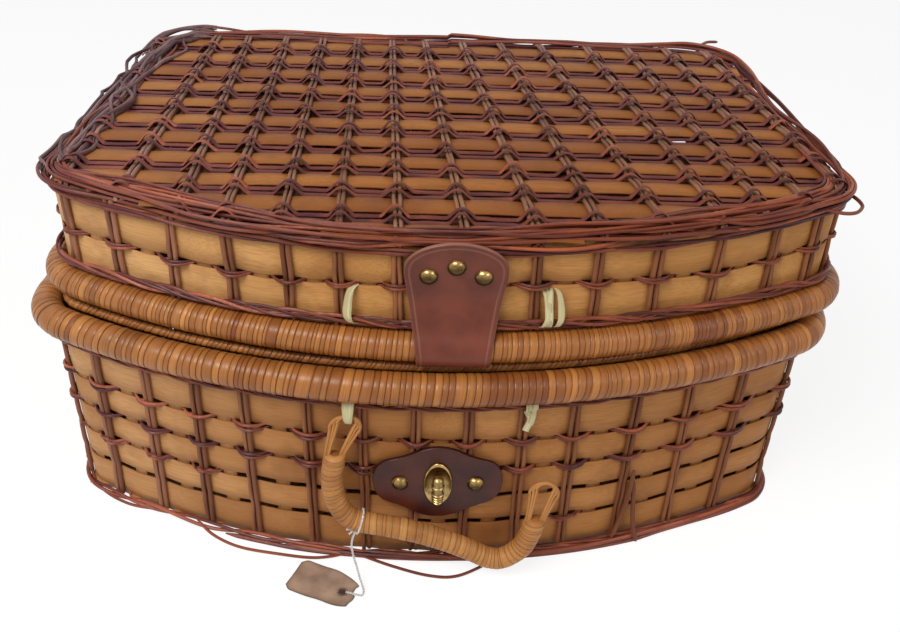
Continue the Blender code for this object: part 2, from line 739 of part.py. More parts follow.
def build_strap(material, parent):
    route = strap_route()
    run = 0.0
    rows = []
    for index, place in enumerate(route):
        if index:
            run += (place - route[index - 1]).length
        if run < STRAP_TAPER_LENGTH:
            width = STRAP_TOP_WIDTH + (STRAP_MIDDLE_WIDTH - STRAP_TOP_WIDTH) * run / STRAP_TAPER_LENGTH
        else:
            share = (run - STRAP_TAPER_LENGTH) / (STRAP_LENGTH - STRAP_TAPER_LENGTH)
            width = STRAP_MIDDLE_WIDTH + (STRAP_TIP_WIDTH - STRAP_MIDDLE_WIDTH) * share
        from_top = min(run / STRAP_TOP_ROUND, 1.0)
        from_tip = min(max(STRAP_LENGTH - run, 0.0) / STRAP_TIP_ROUND, 1.0)
        width *= rounded(from_top, STRAP_TOP_SHARE) * rounded(from_tip, STRAP_TIP_SHARE)
        past = (STRAP_LENGTH - EYELET_FROM_TIP - run) / (EYELET_HEIGHT / 2)
        hole = EYELET_WIDTH / 2 * math.sqrt(max(1 - past**2, EYELET_END_SHARE))
        across = (-width / 2, -hole, hole, width / 2)
        open_cell = abs(past) < 1
        rows.append(([Vector((STRAP_X + x, place.x, place.y)) for x in across], open_cell))
    return add_sheet("strap", rows, STRAP_THICKNESS, material, parent)


def build_stud(name, seat, lean, material, parent=None):
    """A brass dome on a face that leans back by this angle."""
    profile = [(0.0, 0.0), (STUD_RADIUS, 0.0)]
    for step in range(1, 4):
        angle = math.pi / 2 * step / 4
        profile.append((STUD_RADIUS * math.cos(angle), STUD_HEIGHT * math.sin(angle)))
    profile.append((0.0, STUD_HEIGHT))
    mesh = turned(profile, 12)
    mesh.transform(Matrix.Rotation(math.pi / 2 + lean, 4, "X"))
    mesh.transform(Matrix.Translation(seat))
    return add(name, mesh, material, parent)


# Turn lock

PATCH_EDGE_SHARES = (0.20, 0.36, 0.44, 0.62, 0.88, 0.98, 1.0, 0.98, 0.88, 0.62, 0.44, 0.36, 0.20)


def build_patch(material):
    """A leather lozenge with hollow shoulders, bent to the bowed wall."""
    count = len(PATCH_EDGE_SHARES)
    rows = []
    for index, share in enumerate(PATCH_EDGE_SHARES):
        along = LOCK_X + PATCH_LENGTH * (index / (count - 1) - 0.5)
        point = BOTTOM_PLAN.at(along, PATCH_INSET)[0]
        half = share * PATCH_HEIGHT / 2
        rows.append(([Vector((*point, LOCK_HEIGHT + side * half)) for side in (-1, 0, 1)], False))
    return add_sheet("lock_patch", rows, PATCH_THICKNESS, material)


def build_plate(material):
    """An oval brass plate with a round hole for the button's stem."""
    hole = oval(STEM_RADIUS + CLEARANCE, STEM_RADIUS + CLEARANCE, 12)
    mesh = prism([oval(PLATE_WIDTH / 2, PLATE_HEIGHT / 2, 24), hole], 0.0, PLATE_THICKNESS)
    mesh.transform(Matrix.Rotation(math.pi / 2, 4, "X"))
    mesh.transform(Matrix.Translation((LOCK_X, LOCK_FACE_Y, LOCK_HEIGHT)))
    return add("lock_plate", mesh, material)


def build_button(material, parent):
    """A ribbed barrel across the end of a round stem."""
    ribs = 6
    profile = [(0.0, -BUTTON_LENGTH / 2)]
    for index in range(2 * ribs + 1):
        height = BUTTON_LENGTH * (index / (2 * ribs) - 0.5)
        swell = math.sqrt(1 - (height / BUTTON_LENGTH) ** 2 * 2)
        rib = -BUTTON_RIB if index % 2 else 0.0
        profile.append((BUTTON_RADIUS * swell + rib, height))
    profile.append((0.0, BUTTON_LENGTH / 2))
    barrel = turned(profile, 12)
    barrel.transform(Matrix.Translation((LOCK_X, LOCK_FACE_Y - BUTTON_STANDOFF, LOCK_HEIGHT)))
    button = add("lock_button", barrel, material, parent)
    rod = [(0.0, 0.0), (STEM_RADIUS, 0.0), (STEM_RADIUS, BUTTON_STANDOFF), (0.0, BUTTON_STANDOFF)]
    stem = turned(rod, 12)
    stem.transform(Matrix.Rotation(math.pi / 2, 4, "X"))
    stem.transform(Matrix.Translation((LOCK_X, LOCK_FACE_Y, LOCK_HEIGHT)))
    cut(button, stem, "UNION")
    return button


# Handle

GRIP_SHARES = (
    (0.017, 1.00),
    (0.000, 0.81),
    (0.005, 0.625),
    (0.044, 0.457),
    (0.117, 0.358),
    (0.261, 0.311),
    (0.406, 0.253),
    (0.550, 0.174),
    (0.676, 0.083),
    (0.778, 0.000),
    (0.858, 0.003),
    (0.940, 0.112),
    (0.982, 0.272),
    (1.000, 0.407),
)
GRIP_END_SHARE = 0.85
LOOP_LEG_SHARES = (0.0, 0.3, 0.6)
LOOP_LEG_SHARE = 1.2


def on_handle(x, z):
    """A place in the handle's leaning plane."""
    return Vector((x, HANDLE_Y - HANDLE_LEAN * (HANDLE_TOP_HEIGHT - z), z))


def grip_route():
    points = []
    for across, up in GRIP_SHARES:
        points.append(on_handle(HANDLE_LEFT + across * HANDLE_SPAN, HANDLE_LOW + up * HANDLE_DROP))
    return smooth_route(points, 2)


def build_grip(material, parent):
    route = grip_route()
    count = len(route) - 1
    swell = [math.sin(math.pi * index / count) for index in range(count + 1)]
    weights = [GRIP_END_SHARE + (1 - GRIP_END_SHARE) * share for share in swell]
    return add("handle_grip", poly_curve(route, GRIP_RADIUS, 2, False, weights), material, parent)


def build_handle_loop(name, end, inner, top, material, parent):
    """A bent strand of split cane whose two legs stand on the end of the grip."""
    up = (end - inner).normalized()
    side = up.cross(Vector((0.0, 1.0, 0.0))).normalized()
    foot = end + up * LOOP_SEAT
    spread = LOOP_HALF_WIDTH
    rise = (top - foot).length
    lean = (top - foot).normalized()
    offset = side * LOOP_STRAND_RADIUS * LOOP_LEG_SHARE
    points = [foot - offset + up * spread * share for share in LOOP_LEG_SHARES]
    middle = foot + lean * (rise - spread)
    for step in range(LOOP_STEPS + 1):
        angle = math.pi - math.pi * step / LOOP_STEPS
        points.append(middle + side * spread * math.cos(angle) + lean * spread * math.sin(angle))
    points += [foot + offset + up * spread * share for share in reversed(LOOP_LEG_SHARES)]
    return add(name, poly_curve(smooth_route(points, 2), LOOP_STRAND_RADIUS, 1, False), material, parent)


# Raffia ties

# The lid's ties, as shares of half the way round it and of its wall's height
LID_TIE_LEFT_SHARE = -0.079
LID_TIE_RIGHT_SHARE = 0.0841
LID_TIE_TOP_SHARE = 0.44


def build_tie_link(name, centre, half_height, radius, material, parent=None, upright=False):
    """A closed raffia link: two half turns and two straight sides, seen from the side or from the front."""
    points = []
    for start, lift in ((0.0, half_height), (math.pi, -half_height)):
        for step in range(LOOP_STEPS + 1):
            angle = start + math.pi * step / LOOP_STEPS
            across = radius * math.cos(angle)
            up = lift + radius * math.sin(angle)
            offset = Vector((across, 0.0, up)) if upright else Vector((0.0, across, up))
            points.append(centre + offset)
    return add(name, poly_curve(points, TIE_RADIUS, 1, True), material, parent)


def build_loose_tie(material):
    """The torn right-hand tie: a strand that comes out under the rim and hangs."""
    y = -FRONT_REACH + BOTTOM_PLAN.sag(LOOSE_TIE_X) + RIB_INSET - CLEARANCE - TIE_RADIUS
    top = WALING_HEIGHT - WALING_RADIUS - CLEARANCE - TIE_RADIUS
    points = [
        Vector((LOOSE_TIE_X - 2 * TIE_RADIUS, y, top - LOOSE_TIE_DROP)),
        Vector((LOOSE_TIE_X - 2 * TIE_RADIUS, y, top - LOOSE_TIE_DROP / 2)),
        Vector((LOOSE_TIE_X, y, top)),
        Vector((LOOSE_TIE_X + 2 * TIE_RADIUS, y, top - LOOSE_TIE_DROP / 2)),
        Vector((LOOSE_TIE_X + 3 * TIE_RADIUS, y, top - LOOSE_TIE_DROP)),
    ]
    return add("handle_tie_right", poly_curve(smooth_route(points, 3), TIE_RADIUS, 1, False), material)


# Tag and string

STRING_POINTS = (
    (-0.0434, -0.1682, 0.0349),
    (-0.0455, -0.1699, 0.0298),
    (-0.0462, -0.1717, 0.0245),
    (-0.0452, -0.1740, 0.0185),
    (-0.0430, -0.1768, 0.0118),
    (-0.0412, -0.1802, 0.0065),
    (-0.0392, -0.1840, 0.0028),
    (-0.0382, -0.1875, 0.0012),
    (-0.0394, -0.1900, 0.0012),
    (-0.0428, -0.1903, 0.0024),
    (-0.0460, -0.1894, 0.0024),
    (-0.0490, -0.1884, 0.0022),
)


def build_string(material, parent):
    route = smooth_route([Vector(point) for point in STRING_POINTS], 3)
    return add("tag_string", poly_curve(route, STRING_RADIUS, 2, False), material, parent)


def build_tag(material, parent):
    """A blank card, clipped at the end that has the string hole, lying on the ground."""
    half = TAG_LENGTH / 2
    side = TAG_WIDTH / 2
    tip = TAG_TIP_WIDTH / 2
    outline = [
        Vector((-half, -side)),
        Vector((half - TAG_CLIP, -side)),
        Vector((half, -tip)),
        Vector((half, tip)),
        Vector((half - TAG_CLIP, side)),
        Vector((-half, side)),
    ]
    centre = Vector((half - TAG_HOLE_FROM_TIP, 0.0))
    hole = [centre + point for point in oval(TAG_HOLE_RADIUS, TAG_HOLE_RADIUS, 10)]
    mesh = prism([outline, hole], CLEARANCE, CLEARANCE + TAG_THICKNESS)
    mesh.transform(Matrix.Rotation(TAG_TURN, 4, "Z"))
    mesh.transform(Matrix.Translation((TAG_X, TAG_Y, 0.0)))
    return add("tag", mesh, material, parent)


# The whole basket


def build_bottom(colours):
    floor_inset = WALL_INNER_INSET + CLEARANCE
    add("floor_panel", prism([BOTTOM_PLAN.ring(floor_inset)], 0.0, FLOOR_THICKNESS), colours["splint"])
    wall_top = RIM_HEIGHT - clear_of_rim(RIM_RADIUS, RIB_INSET)
    rows = int((WALING_HEIGHT - SPLINT_FOOT) / SPLINT_PITCH)
    gaps = [SPLINT_FOOT + SPLINT_PITCH * row for row in range(1, rows)]
    build_wall("bottom_wall", BOTTOM_PLAN, 0.0, wall_top, gaps, RIM_HEIGHT, RIM_RADIUS, colours["splint"])
    rings = (
        ("base_border", BASE_BORDER_INSET, BASE_BORDER_HEIGHT, BASE_BORDER_RADIUS, 2, "reed"),
        ("bottom_waling", WALING_INSET, WALING_HEIGHT, WALING_RADIUS, 0, "reed"),
        ("bottom_rim", 0.0, RIM_HEIGHT, RIM_RADIUS, 2, "cane"),
        ("bottom_inner_rim", INNER_RIM_INSET, INNER_RIM_HEIGHT, INNER_RIM_RADIUS, 1, "cane"),
    )
    for name, inset, height, radius, resolution, colour in rings:
        build_ring(name, BOTTOM_PLAN, inset, height, radius, resolution, colours[colour])
    for name, side in (("left", -1), ("middle", 0), ("right", 1)):
        build_hinge_loop("hinge_loop_" + name, side * HINGE_LOOP_SPACING, colours["cane"])
    build_patch(colours["patch"])
    build_plate(colours["brass"])
    for name, side in (("left", -1), ("right", 1)):
        x = LOCK_X + side * LOCK_STUD_SPREAD
        y = LOCK_FACE_Y + BOTTOM_PLAN.sag(abs(x) - STUD_RADIUS)
        build_stud("lock_stud_" + name, Vector((x, y, LOCK_HEIGHT)), 0.0, colours["brass"])
    centre = Vector((HANDLE_TOP_X, HANDLE_Y, HANDLE_TOP_HEIGHT + TIE_SLACK / 2))
    build_tie_link("handle_tie_left", centre, TIE_SLACK / 2, TIE_LINK_RADIUS, colours["raffia"])
    build_loose_tie(colours["raffia"])


def build_lid(colours, pivot):
    build_lid_panel(colours["splint"], pivot)
    build_lid_border(colours["reed"], pivot)
    low = LID_RIM_HEIGHT + clear_of_rim(LID_RIM_RADIUS, RIB_INSET)
    high = LID_BORDER_HEIGHT - LID_BORDER_RADIUS - CLEARANCE
    splint = colours["splint"]
    reed = colours["reed"]
    build_wall("lid_wall", LID_PLAN, low, high, [], LID_RIM_HEIGHT, LID_RIM_RADIUS, splint, pivot)
    build_ring("lid_waling", LID_PLAN, WALING_INSET, LID_WALING_HEIGHT, WALING_RADIUS, 0, reed, pivot)
    build_ring("lid_rim", LID_PLAN, 0.0, LID_RIM_HEIGHT, LID_RIM_RADIUS, 2, colours["cane"], pivot)
    build_strap(colours["leather"], pivot)
    top, foot = strap_upper_run()
    lean = math.atan2(foot.x - top.x, top.y - foot.y)
    for name, side in (("left", -1), ("middle", 0), ("right", 1)):
        height = on_lid_wall(STRAP_STUD_SHARE if side else STRAP_MIDDLE_STUD_SHARE)
        place = top.lerp(foot, (top.y - height) / (top.y - foot.y))
        out = CLEARANCE + STRAP_THICKNESS / 2
        x = STRAP_X + side * STRAP_STUD_SPREAD
        seat = Vector((x, place.x - out * math.cos(lean), place.y - out * math.sin(lean)))
        build_stud("strap_stud_" + name, seat, lean, colours["brass"], pivot)
    for name, share in (("left", LID_TIE_LEFT_SHARE), ("right", LID_TIE_RIGHT_SHARE)):
        place = LID_PLAN.at(share * LID_PLAN.half, WALL_INSET - CLEARANCE - TIE_RADIUS)[0]
        radius = LID_TIE_WIDTH / 2
        low = on_lid_wall(0.0) + CLEARANCE + TIE_RADIUS
        half = (on_lid_wall(LID_TIE_TOP_SHARE) - low) / 2
        centre = Vector((*place, low + half))
        raffia = colours["raffia"]
        build_tie_link("lid_tie_" + name, centre, half - radius, radius, raffia, pivot, upright=True)


def build_handle(colours, pivot):
    build_grip(colours["cane"], pivot)
    route = grip_route()
    top = on_handle(HANDLE_TOP_X, HANDLE_TOP_HEIGHT)
    build_handle_loop("handle_loop_left", route[0], route[1], top, colours["cane"], pivot)
    end = route[-1]
    top = on_handle(end.x + RIGHT_LOOP_LEAN, end.z + RIGHT_LOOP_RISE)
    build_handle_loop("handle_loop_right", end, route[-2], top, colours["cane"], pivot)
    build_string(colours["string"], pivot)
    build_tag(colours["card"], pivot)


def main():
    for obj in list(bpy.data.objects):
        bpy.data.objects.remove(obj)
    colours = {
        "splint": new_material("tan_splint", (0.52, 0.27, 0.09), 0.55),
        "reed": new_material("dark_reed", (0.12, 0.035, 0.025), 0.5),
        "cane": new_material("wrapped_cane", (0.45, 0.19, 0.05), 0.35),
        "leather": new_material("brown_leather", (0.20, 0.075, 0.045), 0.45),
        "patch": new_material("dark_leather", (0.13, 0.04, 0.03), 0.45),
        "brass": new_material("brass", (0.60, 0.45, 0.18), 0.3, 1.0),
        "raffia": new_material("raffia", (0.62, 0.56, 0.28), 0.7),
        "string": new_material("white_string", (0.68, 0.66, 0.62), 0.8),
        "card": new_material("tag_card", (0.42, 0.30, 0.19), 0.8),
    }
    build_bottom(colours)
    build_lid(colours, add_pivot("lid_hinge", (0.0, HINGE_Y, LID_RIM_HEIGHT)))
    build_button(colours["brass"], add_pivot("button_twist", (LOCK_X, LOCK_FACE_Y, LOCK_HEIGHT)))
    build_handle(colours, add_pivot("handle_swing", (HANDLE_TOP_X, HANDLE_Y, HANDLE_TOP_HEIGHT)))


main()
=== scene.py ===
"""Looks of the wicker picnic basket: woven splints and stakes, wrapped rims, leather, brass and string."""

import math

import bmesh
import bpy
import numpy as np
from mathutils import Matrix, Vector


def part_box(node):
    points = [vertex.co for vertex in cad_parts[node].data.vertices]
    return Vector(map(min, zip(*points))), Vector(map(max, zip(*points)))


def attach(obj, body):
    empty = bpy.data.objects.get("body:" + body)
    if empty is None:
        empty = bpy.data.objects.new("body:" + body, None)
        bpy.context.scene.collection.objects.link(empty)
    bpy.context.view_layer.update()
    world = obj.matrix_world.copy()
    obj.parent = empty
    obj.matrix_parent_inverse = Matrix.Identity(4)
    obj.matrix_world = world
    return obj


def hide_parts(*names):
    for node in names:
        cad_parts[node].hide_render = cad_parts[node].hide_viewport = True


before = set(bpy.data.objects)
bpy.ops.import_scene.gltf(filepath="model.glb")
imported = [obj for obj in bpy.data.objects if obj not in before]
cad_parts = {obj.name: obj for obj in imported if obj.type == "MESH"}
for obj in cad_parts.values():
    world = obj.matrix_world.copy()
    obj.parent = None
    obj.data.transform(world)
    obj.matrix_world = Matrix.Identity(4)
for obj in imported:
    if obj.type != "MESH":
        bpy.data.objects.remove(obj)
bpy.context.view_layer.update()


def half_height(node):
    low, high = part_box(node)
    return (high.z - low.z) / 2


def middle(node):
    low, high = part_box(node)
    return (low + high) / 2


RIGHT, BACK, UP, FRONT = (1.0, 0.0, 0.0), (0.0, 1.0, 0.0), (0.0, 0.0, 1.0), (0.0, -1.0, 0.0)
WHITE = (1.0, 1.0, 1.0)
# Painted light: a pale, cool tint multiplied into cane and reed colours towards the left and back
PAINTED_LIGHT_TINT = (1.30, 1.55, 2.10)

# Plan of the basket, as the frame has it
FRONT_HALF_WIDTH = 0.235
BACK_HALF_WIDTH = 0.205
FRONT_BOW = 0.064
FRONT_CORNER_RADIUS = 0.030
BACK_CORNER_RADIUS = 0.040
FRONT_Y = -0.160
BACK_Y = 0.140
LID_SETBACK = 0.012
LID_SHIFT = 0.008
TRACE_STEP = 0.001

# Heights and radii read from the frame
ROLLS = ("bottom_rim", "bottom_inner_rim", "lid_rim")
RIM_Z, INNER_RIM_Z, LID_RIM_Z = (middle(node).z for node in ROLLS)
RIM_RADIUS, INNER_RIM_RADIUS, LID_RIM_RADIUS = map(half_height, ROLLS)
WALING_Z, LID_WALING_Z, PANEL_Z = (middle(node).z for node in ("bottom_waling", "lid_waling", "lid_panel"))
BORDER_SINK = 0.0058
BORDER_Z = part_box("lid_border")[1].z - BORDER_SINK
RIM_CLEARANCE = 0.0003
INNER_RIM_INSET = RIM_RADIUS + INNER_RIM_RADIUS + RIM_CLEARANCE
SLAT_LIFT = 0.0012
LID_TOP = PANEL_Z + SLAT_LIFT
BOTTOM_WALL_TOP = RIM_Z - RIM_RADIUS * 0.8
LID_WALL_TOP = BORDER_Z - 0.0020
# Where splints, upright splints and stakes start
BOTTOM_WALL_FEET = (0.0010, 0.0020, 0.0035)
LID_WALL_FEET = (LID_RIM_Z + 0.0040,) * 3

# Stakes seen on the walls, as distances from the middle of the front
BOTTOM_STAKES = (
    -0.247, -0.2115, -0.1759, -0.1421, -0.1105, -0.0722, -0.0395, -0.009,
    0.0214, 0.0541, 0.0851, 0.1229, 0.159, 0.1966, 0.243,
)
LID_STAKES = (
    -0.2279, -0.1945, -0.1572, -0.1223, -0.089, -0.0608, -0.0287, 0.009,
    0.0462, 0.080, 0.1149, 0.1527, 0.1908, 0.2205, 0.250,
)
STAKE_PITCH = 0.034
STAKE_SPREAD = 0.0018
STAKE_RADIUS = 0.0015

# Depths of the weave's layers, measured inward from the rims' middle
STAKE_INSET = 0.0046
SPLINT_INSET = 0.0066
SPLINT_SWAY = 0.0004
INNER_SPLINT_INSET = 0.0081
REED_INSET = 0.0059
REED_SWAY = 0.0037
FLOOR_INSET = 0.0088

# Floor slats, and the strips of the hinge bindings
FLOOR_SLAT_PITCH = 0.0235
FLOOR_SLAT_WIDTH = 0.0233
FLOOR_CROSS_PITCH = 0.030
FLOOR_THICKNESS = 0.0011
LOOP_CLEARANCE = 0.0011
LOOP_STRIP_PITCH = 0.0023
LOOP_STRIP = (0.0022, 0.0012)
LOOP_STRIPS = (-1.5, -0.5, 0.5, 1.5)

# Splints and reeds. The gaps between splints are open as far round from the front as they are seen
SPLINT_THICKNESS = 0.0010
INNER_SPLINT_WIDTH = 0.0092
REED_RADIUS = 0.0010
LID_REED_RADIUS = 0.0008
BOTTOM_GAPS = (0.028, 0.050, 0.072, 0.094)
LID_GAP = 0.1925
GAP_HEIGHT = 0.0032
LID_GAP_HEIGHT = 0.0022
CLOSED_GAP = -0.0003
BOTTOM_SEEN = 0.262
LID_SEEN = 0.270
REED_SIDES = 7
WALING_REEDS = 4
WALING_RADIUS = 0.0010
WALING_INSET = 0.0012
BASE_REED_RADIUS = 0.0013
STAKE_STEP = 0.003
RING_STATIONS = 460
OUTERMOST = -0.0014  # as far as a straying reed gets, measured inward

# How far a gap strays from its height, or a border inward, by distance from the middle of the front
STRAIGHT = ((0.0, 0.0),)
LID_GAP_BEND = (
    (-0.27, 0.0), (-0.20, -0.0005), (-0.10, -0.0010), (-0.03, 0.0022), (0.05, 0.0042),
    (0.11, 0.0020), (0.16, -0.0006), (0.22, 0.0024), (0.27, 0.0),
)
BASE_BEND = (
    (-0.1, 0.0), (0.0, -0.0024), (0.05, -0.0046), (0.10, -0.0034), (0.16, 0.0008), (0.24, 0.0022),
    (0.3, 0.0),
)
LID_BORDER_INSET = (
    (-0.30, 0.0096), (-0.25, 0.0090), (-0.10, 0.0066), (0.0, 0.0060), (0.12, 0.0072), (0.27, 0.0050),
)
BASE_REED_STARTS = (-0.130, -0.090, -0.060, -0.040, -0.025, -0.010, 0.010, 0.025)

# Lid top: rows of slats, and where the pairs of stakes cross two of its lines, measured on the photograph
SLAT_ROWS = (-0.1365, -0.1090, -0.0825, -0.0585, -0.0330, -0.0075, 0.0165, 0.0400, 0.0650, 0.0915, 0.1170)
FRONT_LINE_Y = -0.100
FRONT_LINE = (
    -0.2075, -0.1717, -0.1374, -0.1116, -0.0818, -0.0524, -0.0221, 0.0114,
    0.0483, 0.0825, 0.1172, 0.1520, 0.1799, 0.2070, 0.2360,
)
BACK_LINE_Y = 0.085
BACK_LINE = (
    -0.1960, -0.1597, -0.1351, -0.1082, -0.0819, -0.0562, -0.0302, -0.0047,
    0.0240, 0.0531, 0.0825, 0.1164, 0.1454, 0.1740, 0.2020,
)
BAND_WIDTH = 0.0106
SLAT_GAP = 0.0006
SLAT_END = 0.0065
SLAT_THICKNESS = 0.0012
# Dark strips inside the lid under the stakes, painted shade: width and thickness, then depth below the top
UNDER_STRIP = (0.0185, 0.0008)
UNDER_STRIP_DROP = 0.0028
TOP_STAKE_RADIUS = 0.0012
TOP_STAKE_SPREAD = 0.0014
WEAVER_WIDTH = 0.0054
WEAVER_THICKNESS = 0.0013
WEAVER_SPREAD = 0.0028
HUMP_HALF_WIDTH = 0.0080
HUMP_HEIGHT = 0.0058

# Wrapped rolls: where one wrap's points lie along it, how deep each lies and its painted shade, how uneven
# wraps are
WRAP_SHARES = np.array((0.0, 0.06, 0.18, 0.50, 0.82, 0.95))
WRAP_FALL = np.array((1.0, 0.36, 0.07, 0.0, 0.05, 0.28))
WRAP_UNEVEN = 0.30

# Handle, with its grip's route as shares of its span and drop
HANDLE_TOP = Vector((-0.047, -0.159271, 0.116))
HANDLE_LEAN = 0.105
HANDLE_LEFT = -0.057
HANDLE_SPAN = 0.121
HANDLE_LOW = 0.014
HANDLE_DROP = 0.077
GRIP_RADIUS = 0.0066
LOOP_CANES = ((0.0086, 0.6), (0.0069, 0.95), (0.0053, 0.75))  # half width and shade
LOOP_CANE_RADIUS = 0.0010
GRIP_SHARES = (
    (0.017, 1.00), (0.000, 0.81), (0.005, 0.625), (0.044, 0.457), (0.117, 0.358), (0.261, 0.311),
    (0.406, 0.253), (0.550, 0.174), (0.676, 0.083), (0.778, 0.000), (0.858, 0.003), (0.940, 0.112),
    (0.982, 0.272), (1.000, 0.407),
)

# Tag string, on the part's own route
STRING_POINTS = (
    (-0.0434, -0.1682, 0.0349), (-0.0455, -0.1699, 0.0298), (-0.0462, -0.1717, 0.0245),
    (-0.0452, -0.1740, 0.0185), (-0.0430, -0.1768, 0.0118), (-0.0412, -0.1802, 0.0065),
    (-0.0392, -0.1840, 0.0028), (-0.0382, -0.1875, 0.0012), (-0.0394, -0.1900, 0.0012),
    (-0.0428, -0.1903, 0.0024), (-0.0460, -0.1894, 0.0024), (-0.0490, -0.1884, 0.0022),
)
STRING_DIAMETER = 0.0016
PLY_PITCH = 0.0034

# Card tag: its middle, size, direction toward the hole and the hole's distance from its end
TAG_PLACE = (-0.0633, -0.1822)
TAG_SIZE = (0.025, 0.041)
TAG_TURN = -24.5
TAG_HOLE_DEPTH = 0.0072
TAG_HOLE_RADIUS = 0.0011

# Loose reeds: points and shade
LOOSE_BASE_REEDS = (
    (
        (
            (-0.2330, -0.0600, 0.010), (-0.2258, -0.0898, 0.004), (-0.2151, -0.1055, 0.002),
            (-0.1952, -0.1178, 0.0015), (-0.1727, -0.1227, 0.0015), (-0.1500, -0.1290, 0.003),
        ),
        0.5,
    ),
    (
        (
            (-0.1480, -0.1330, 0.004), (-0.1362, -0.1436, 0.0015), (-0.1183, -0.1533, 0.0015),
            (-0.0939, -0.1585, 0.0015), (-0.0700, -0.1613, 0.0015), (-0.0500, -0.1590, 0.003),
        ),
        0.6,
    ),
    (
        (
            (-0.0450, -0.1585, 0.003), (-0.0205, -0.1676, 0.0015), (0.0018, -0.1744, 0.0015),
            (0.0191, -0.1741, 0.0015), (0.0400, -0.1640, 0.003),
        ),
        0.35,
    ),
    (((-0.2068, -0.0883, 0.014), (-0.2010, -0.1004, 0.0085), (-0.1951, -0.1124, 0.0025)), 0.7),
)
LOOSE_LID_REEDS = (
    (
        (
            (0.2230, -0.0700, 0.2225), (0.2319, -0.0753, 0.2220), (0.2391, -0.0784, 0.2215),
            (0.2424, -0.0875, 0.2205), (0.2368, -0.0958, 0.2205), (0.2285, -0.0984, 0.2210),
            (0.2180, -0.0975, 0.2225),
        ),
        0.4,
    ),
    (((0.1920, 0.1330, 0.2262), (0.2010, 0.1440, 0.2262), (0.2105, 0.1490, 0.2250)), 0.3),
)
# Split stake ends on the right of the front: distance round the wall, inset and height
SPLAYED_ENDS = (
    ((0.1282, 0.0030, 0.060), (0.1265, 0.0012, 0.042), (0.1228, 0.0004, 0.022), (0.1188, 0.0000, 0.006)),
    ((0.1296, 0.0030, 0.050), (0.1306, 0.0012, 0.034), (0.1322, -0.0004, 0.016), (0.1350, -0.0036, 0.0022)),
)

# Strap of leather: its route in Y and Z, and half widths by distance along it
STRAP_X = 0.0105
STRAP_ROUTE = (
    (-0.1507, 0.2272), (-0.1485, 0.2103), (-0.1472, 0.2000), (-0.1459, 0.1899), (-0.1486, 0.1795),
    (-0.1522, 0.1709), (-0.1566, 0.1639), (-0.1579, 0.1571), (-0.1545, 0.1512), (-0.1480, 0.1488),
    (-0.1438, 0.1486), (-0.1418, 0.1472), (-0.1406, 0.1448), (-0.1395, 0.1298), (-0.1376, 0.1150),
    (-0.1348, 0.1002), (-0.1293, 0.0784),
)
STRAP_WIDTHS = ((0.0, 0.0276), (0.022, 0.0275), (0.070, 0.0205), (0.162, 0.0170))
STRAP_TOP_ROUND = 0.0175
STRAP_TIP_ROUND = 0.014
STRAP_THICKNESS = 0.0020
EYELET_HALF = (0.0065, 0.0135)
EYELET_FROM_TIP = 0.026
PRESSED_LINE = 0.0027

# Lock patch: half heights as shares, by share of its half length
PATCH_HALF = (0.039, 0.028)
PATCH_THICKNESS = 0.0022
PATCH_INSET = 0.0019
PATCH_EDGE = (
    (0.00, 1.00), (0.12, 0.985), (0.25, 0.93), (0.38, 0.83), (0.50, 0.735), (0.62, 0.665),
    (0.74, 0.61), (0.84, 0.545), (0.92, 0.43), (0.97, 0.28), (1.00, 0.02),
)

# Turn lock and brass domes: radius and height, the plate's and dome's radii as shares
BARREL_PROFILE = (
    (0.0000, -0.0105), (0.0018, -0.0104), (0.0029, -0.0099), (0.0031, -0.0090), (0.0025, -0.0085),
    (0.0032, -0.0079), (0.0034, -0.0070), (0.0027, -0.0065), (0.0034, -0.0059), (0.0036, -0.0050),
    (0.0029, -0.0045), (0.0036, -0.0039), (0.0038, -0.0027), (0.0033, -0.0022), (0.0033, 0.0018),
    (0.0039, 0.0023), (0.0039, 0.0034), (0.0034, 0.0039), (0.0034, 0.0066), (0.0030, 0.0090),
    (0.0018, 0.0101), (0.0000, 0.0105),
)
DOME_PROFILE = (
    (1.00, 0.0000), (1.04, 0.0003), (1.02, 0.0006), (0.96, 0.0007), (0.92, 0.0012),
    (0.80, 0.0020), (0.62, 0.0027), (0.40, 0.0032), (0.20, 0.0034), (0.00, 0.0035),
)
PLATE_PROFILE = (
    (1.00, 0.0000), (1.00, 0.0007), (0.97, 0.0013), (0.92, 0.0016),
    (0.86, 0.0014), (0.80, 0.0010), (0.50, 0.0008), (0.00, 0.0008),
)
STEM_RADII = (0.0024, 0.0022)
DOME_RADIUS = 0.0050
DOME_HALF_RISE = 0.0015
BUTTON_DEPTH = 0.0050
BUTTON_LIFT = 0.0012

# Raffia ties on the walls: inset and height, and in some a shift along the wall
HANDLE_TIE = (
    (0.0030, 0.1290), (-0.0020, 0.1262), (-0.0040, 0.1215), (-0.0042, 0.1160), (-0.0028, 0.1124),
    (-0.0006, 0.1115), (0.0018, 0.1128), (0.0026, 0.1160), (0.0028, 0.1205),
)
TORN_TIE = (  # distance round the wall, width, points
    (
        0.0545, 0.0040,
        (
            (-0.0016, 0.1278), (-0.0020, 0.1235), (0.0016, 0.1195), (0.0022, 0.1130, 0.0024),
            (0.0020, 0.1045),
        ),
    ),
    (
        0.0580, 0.0036,
        (
            (-0.0016, 0.1278), (-0.0020, 0.1240), (0.0012, 0.1200), (0.0016, 0.1150),
            (0.0020, 0.1090, -0.0010),
        ),
    ),
    (
        0.0550, 0.0030,
        (
            (-0.0018, 0.1276), (-0.0023, 0.1238), (0.0008, 0.1205, -0.0010), (0.0012, 0.1172, 0.0012),
        ),
    ),
)
LID_TIE = (
    (0.0062, 0.1932), (0.0036, 0.1922), (0.0022, 0.1888), (0.0006, 0.1835),
    (-0.0016, 0.1788), (-0.0022, 0.1760), (-0.0014, 0.1730), (0.0006, 0.1712),
)
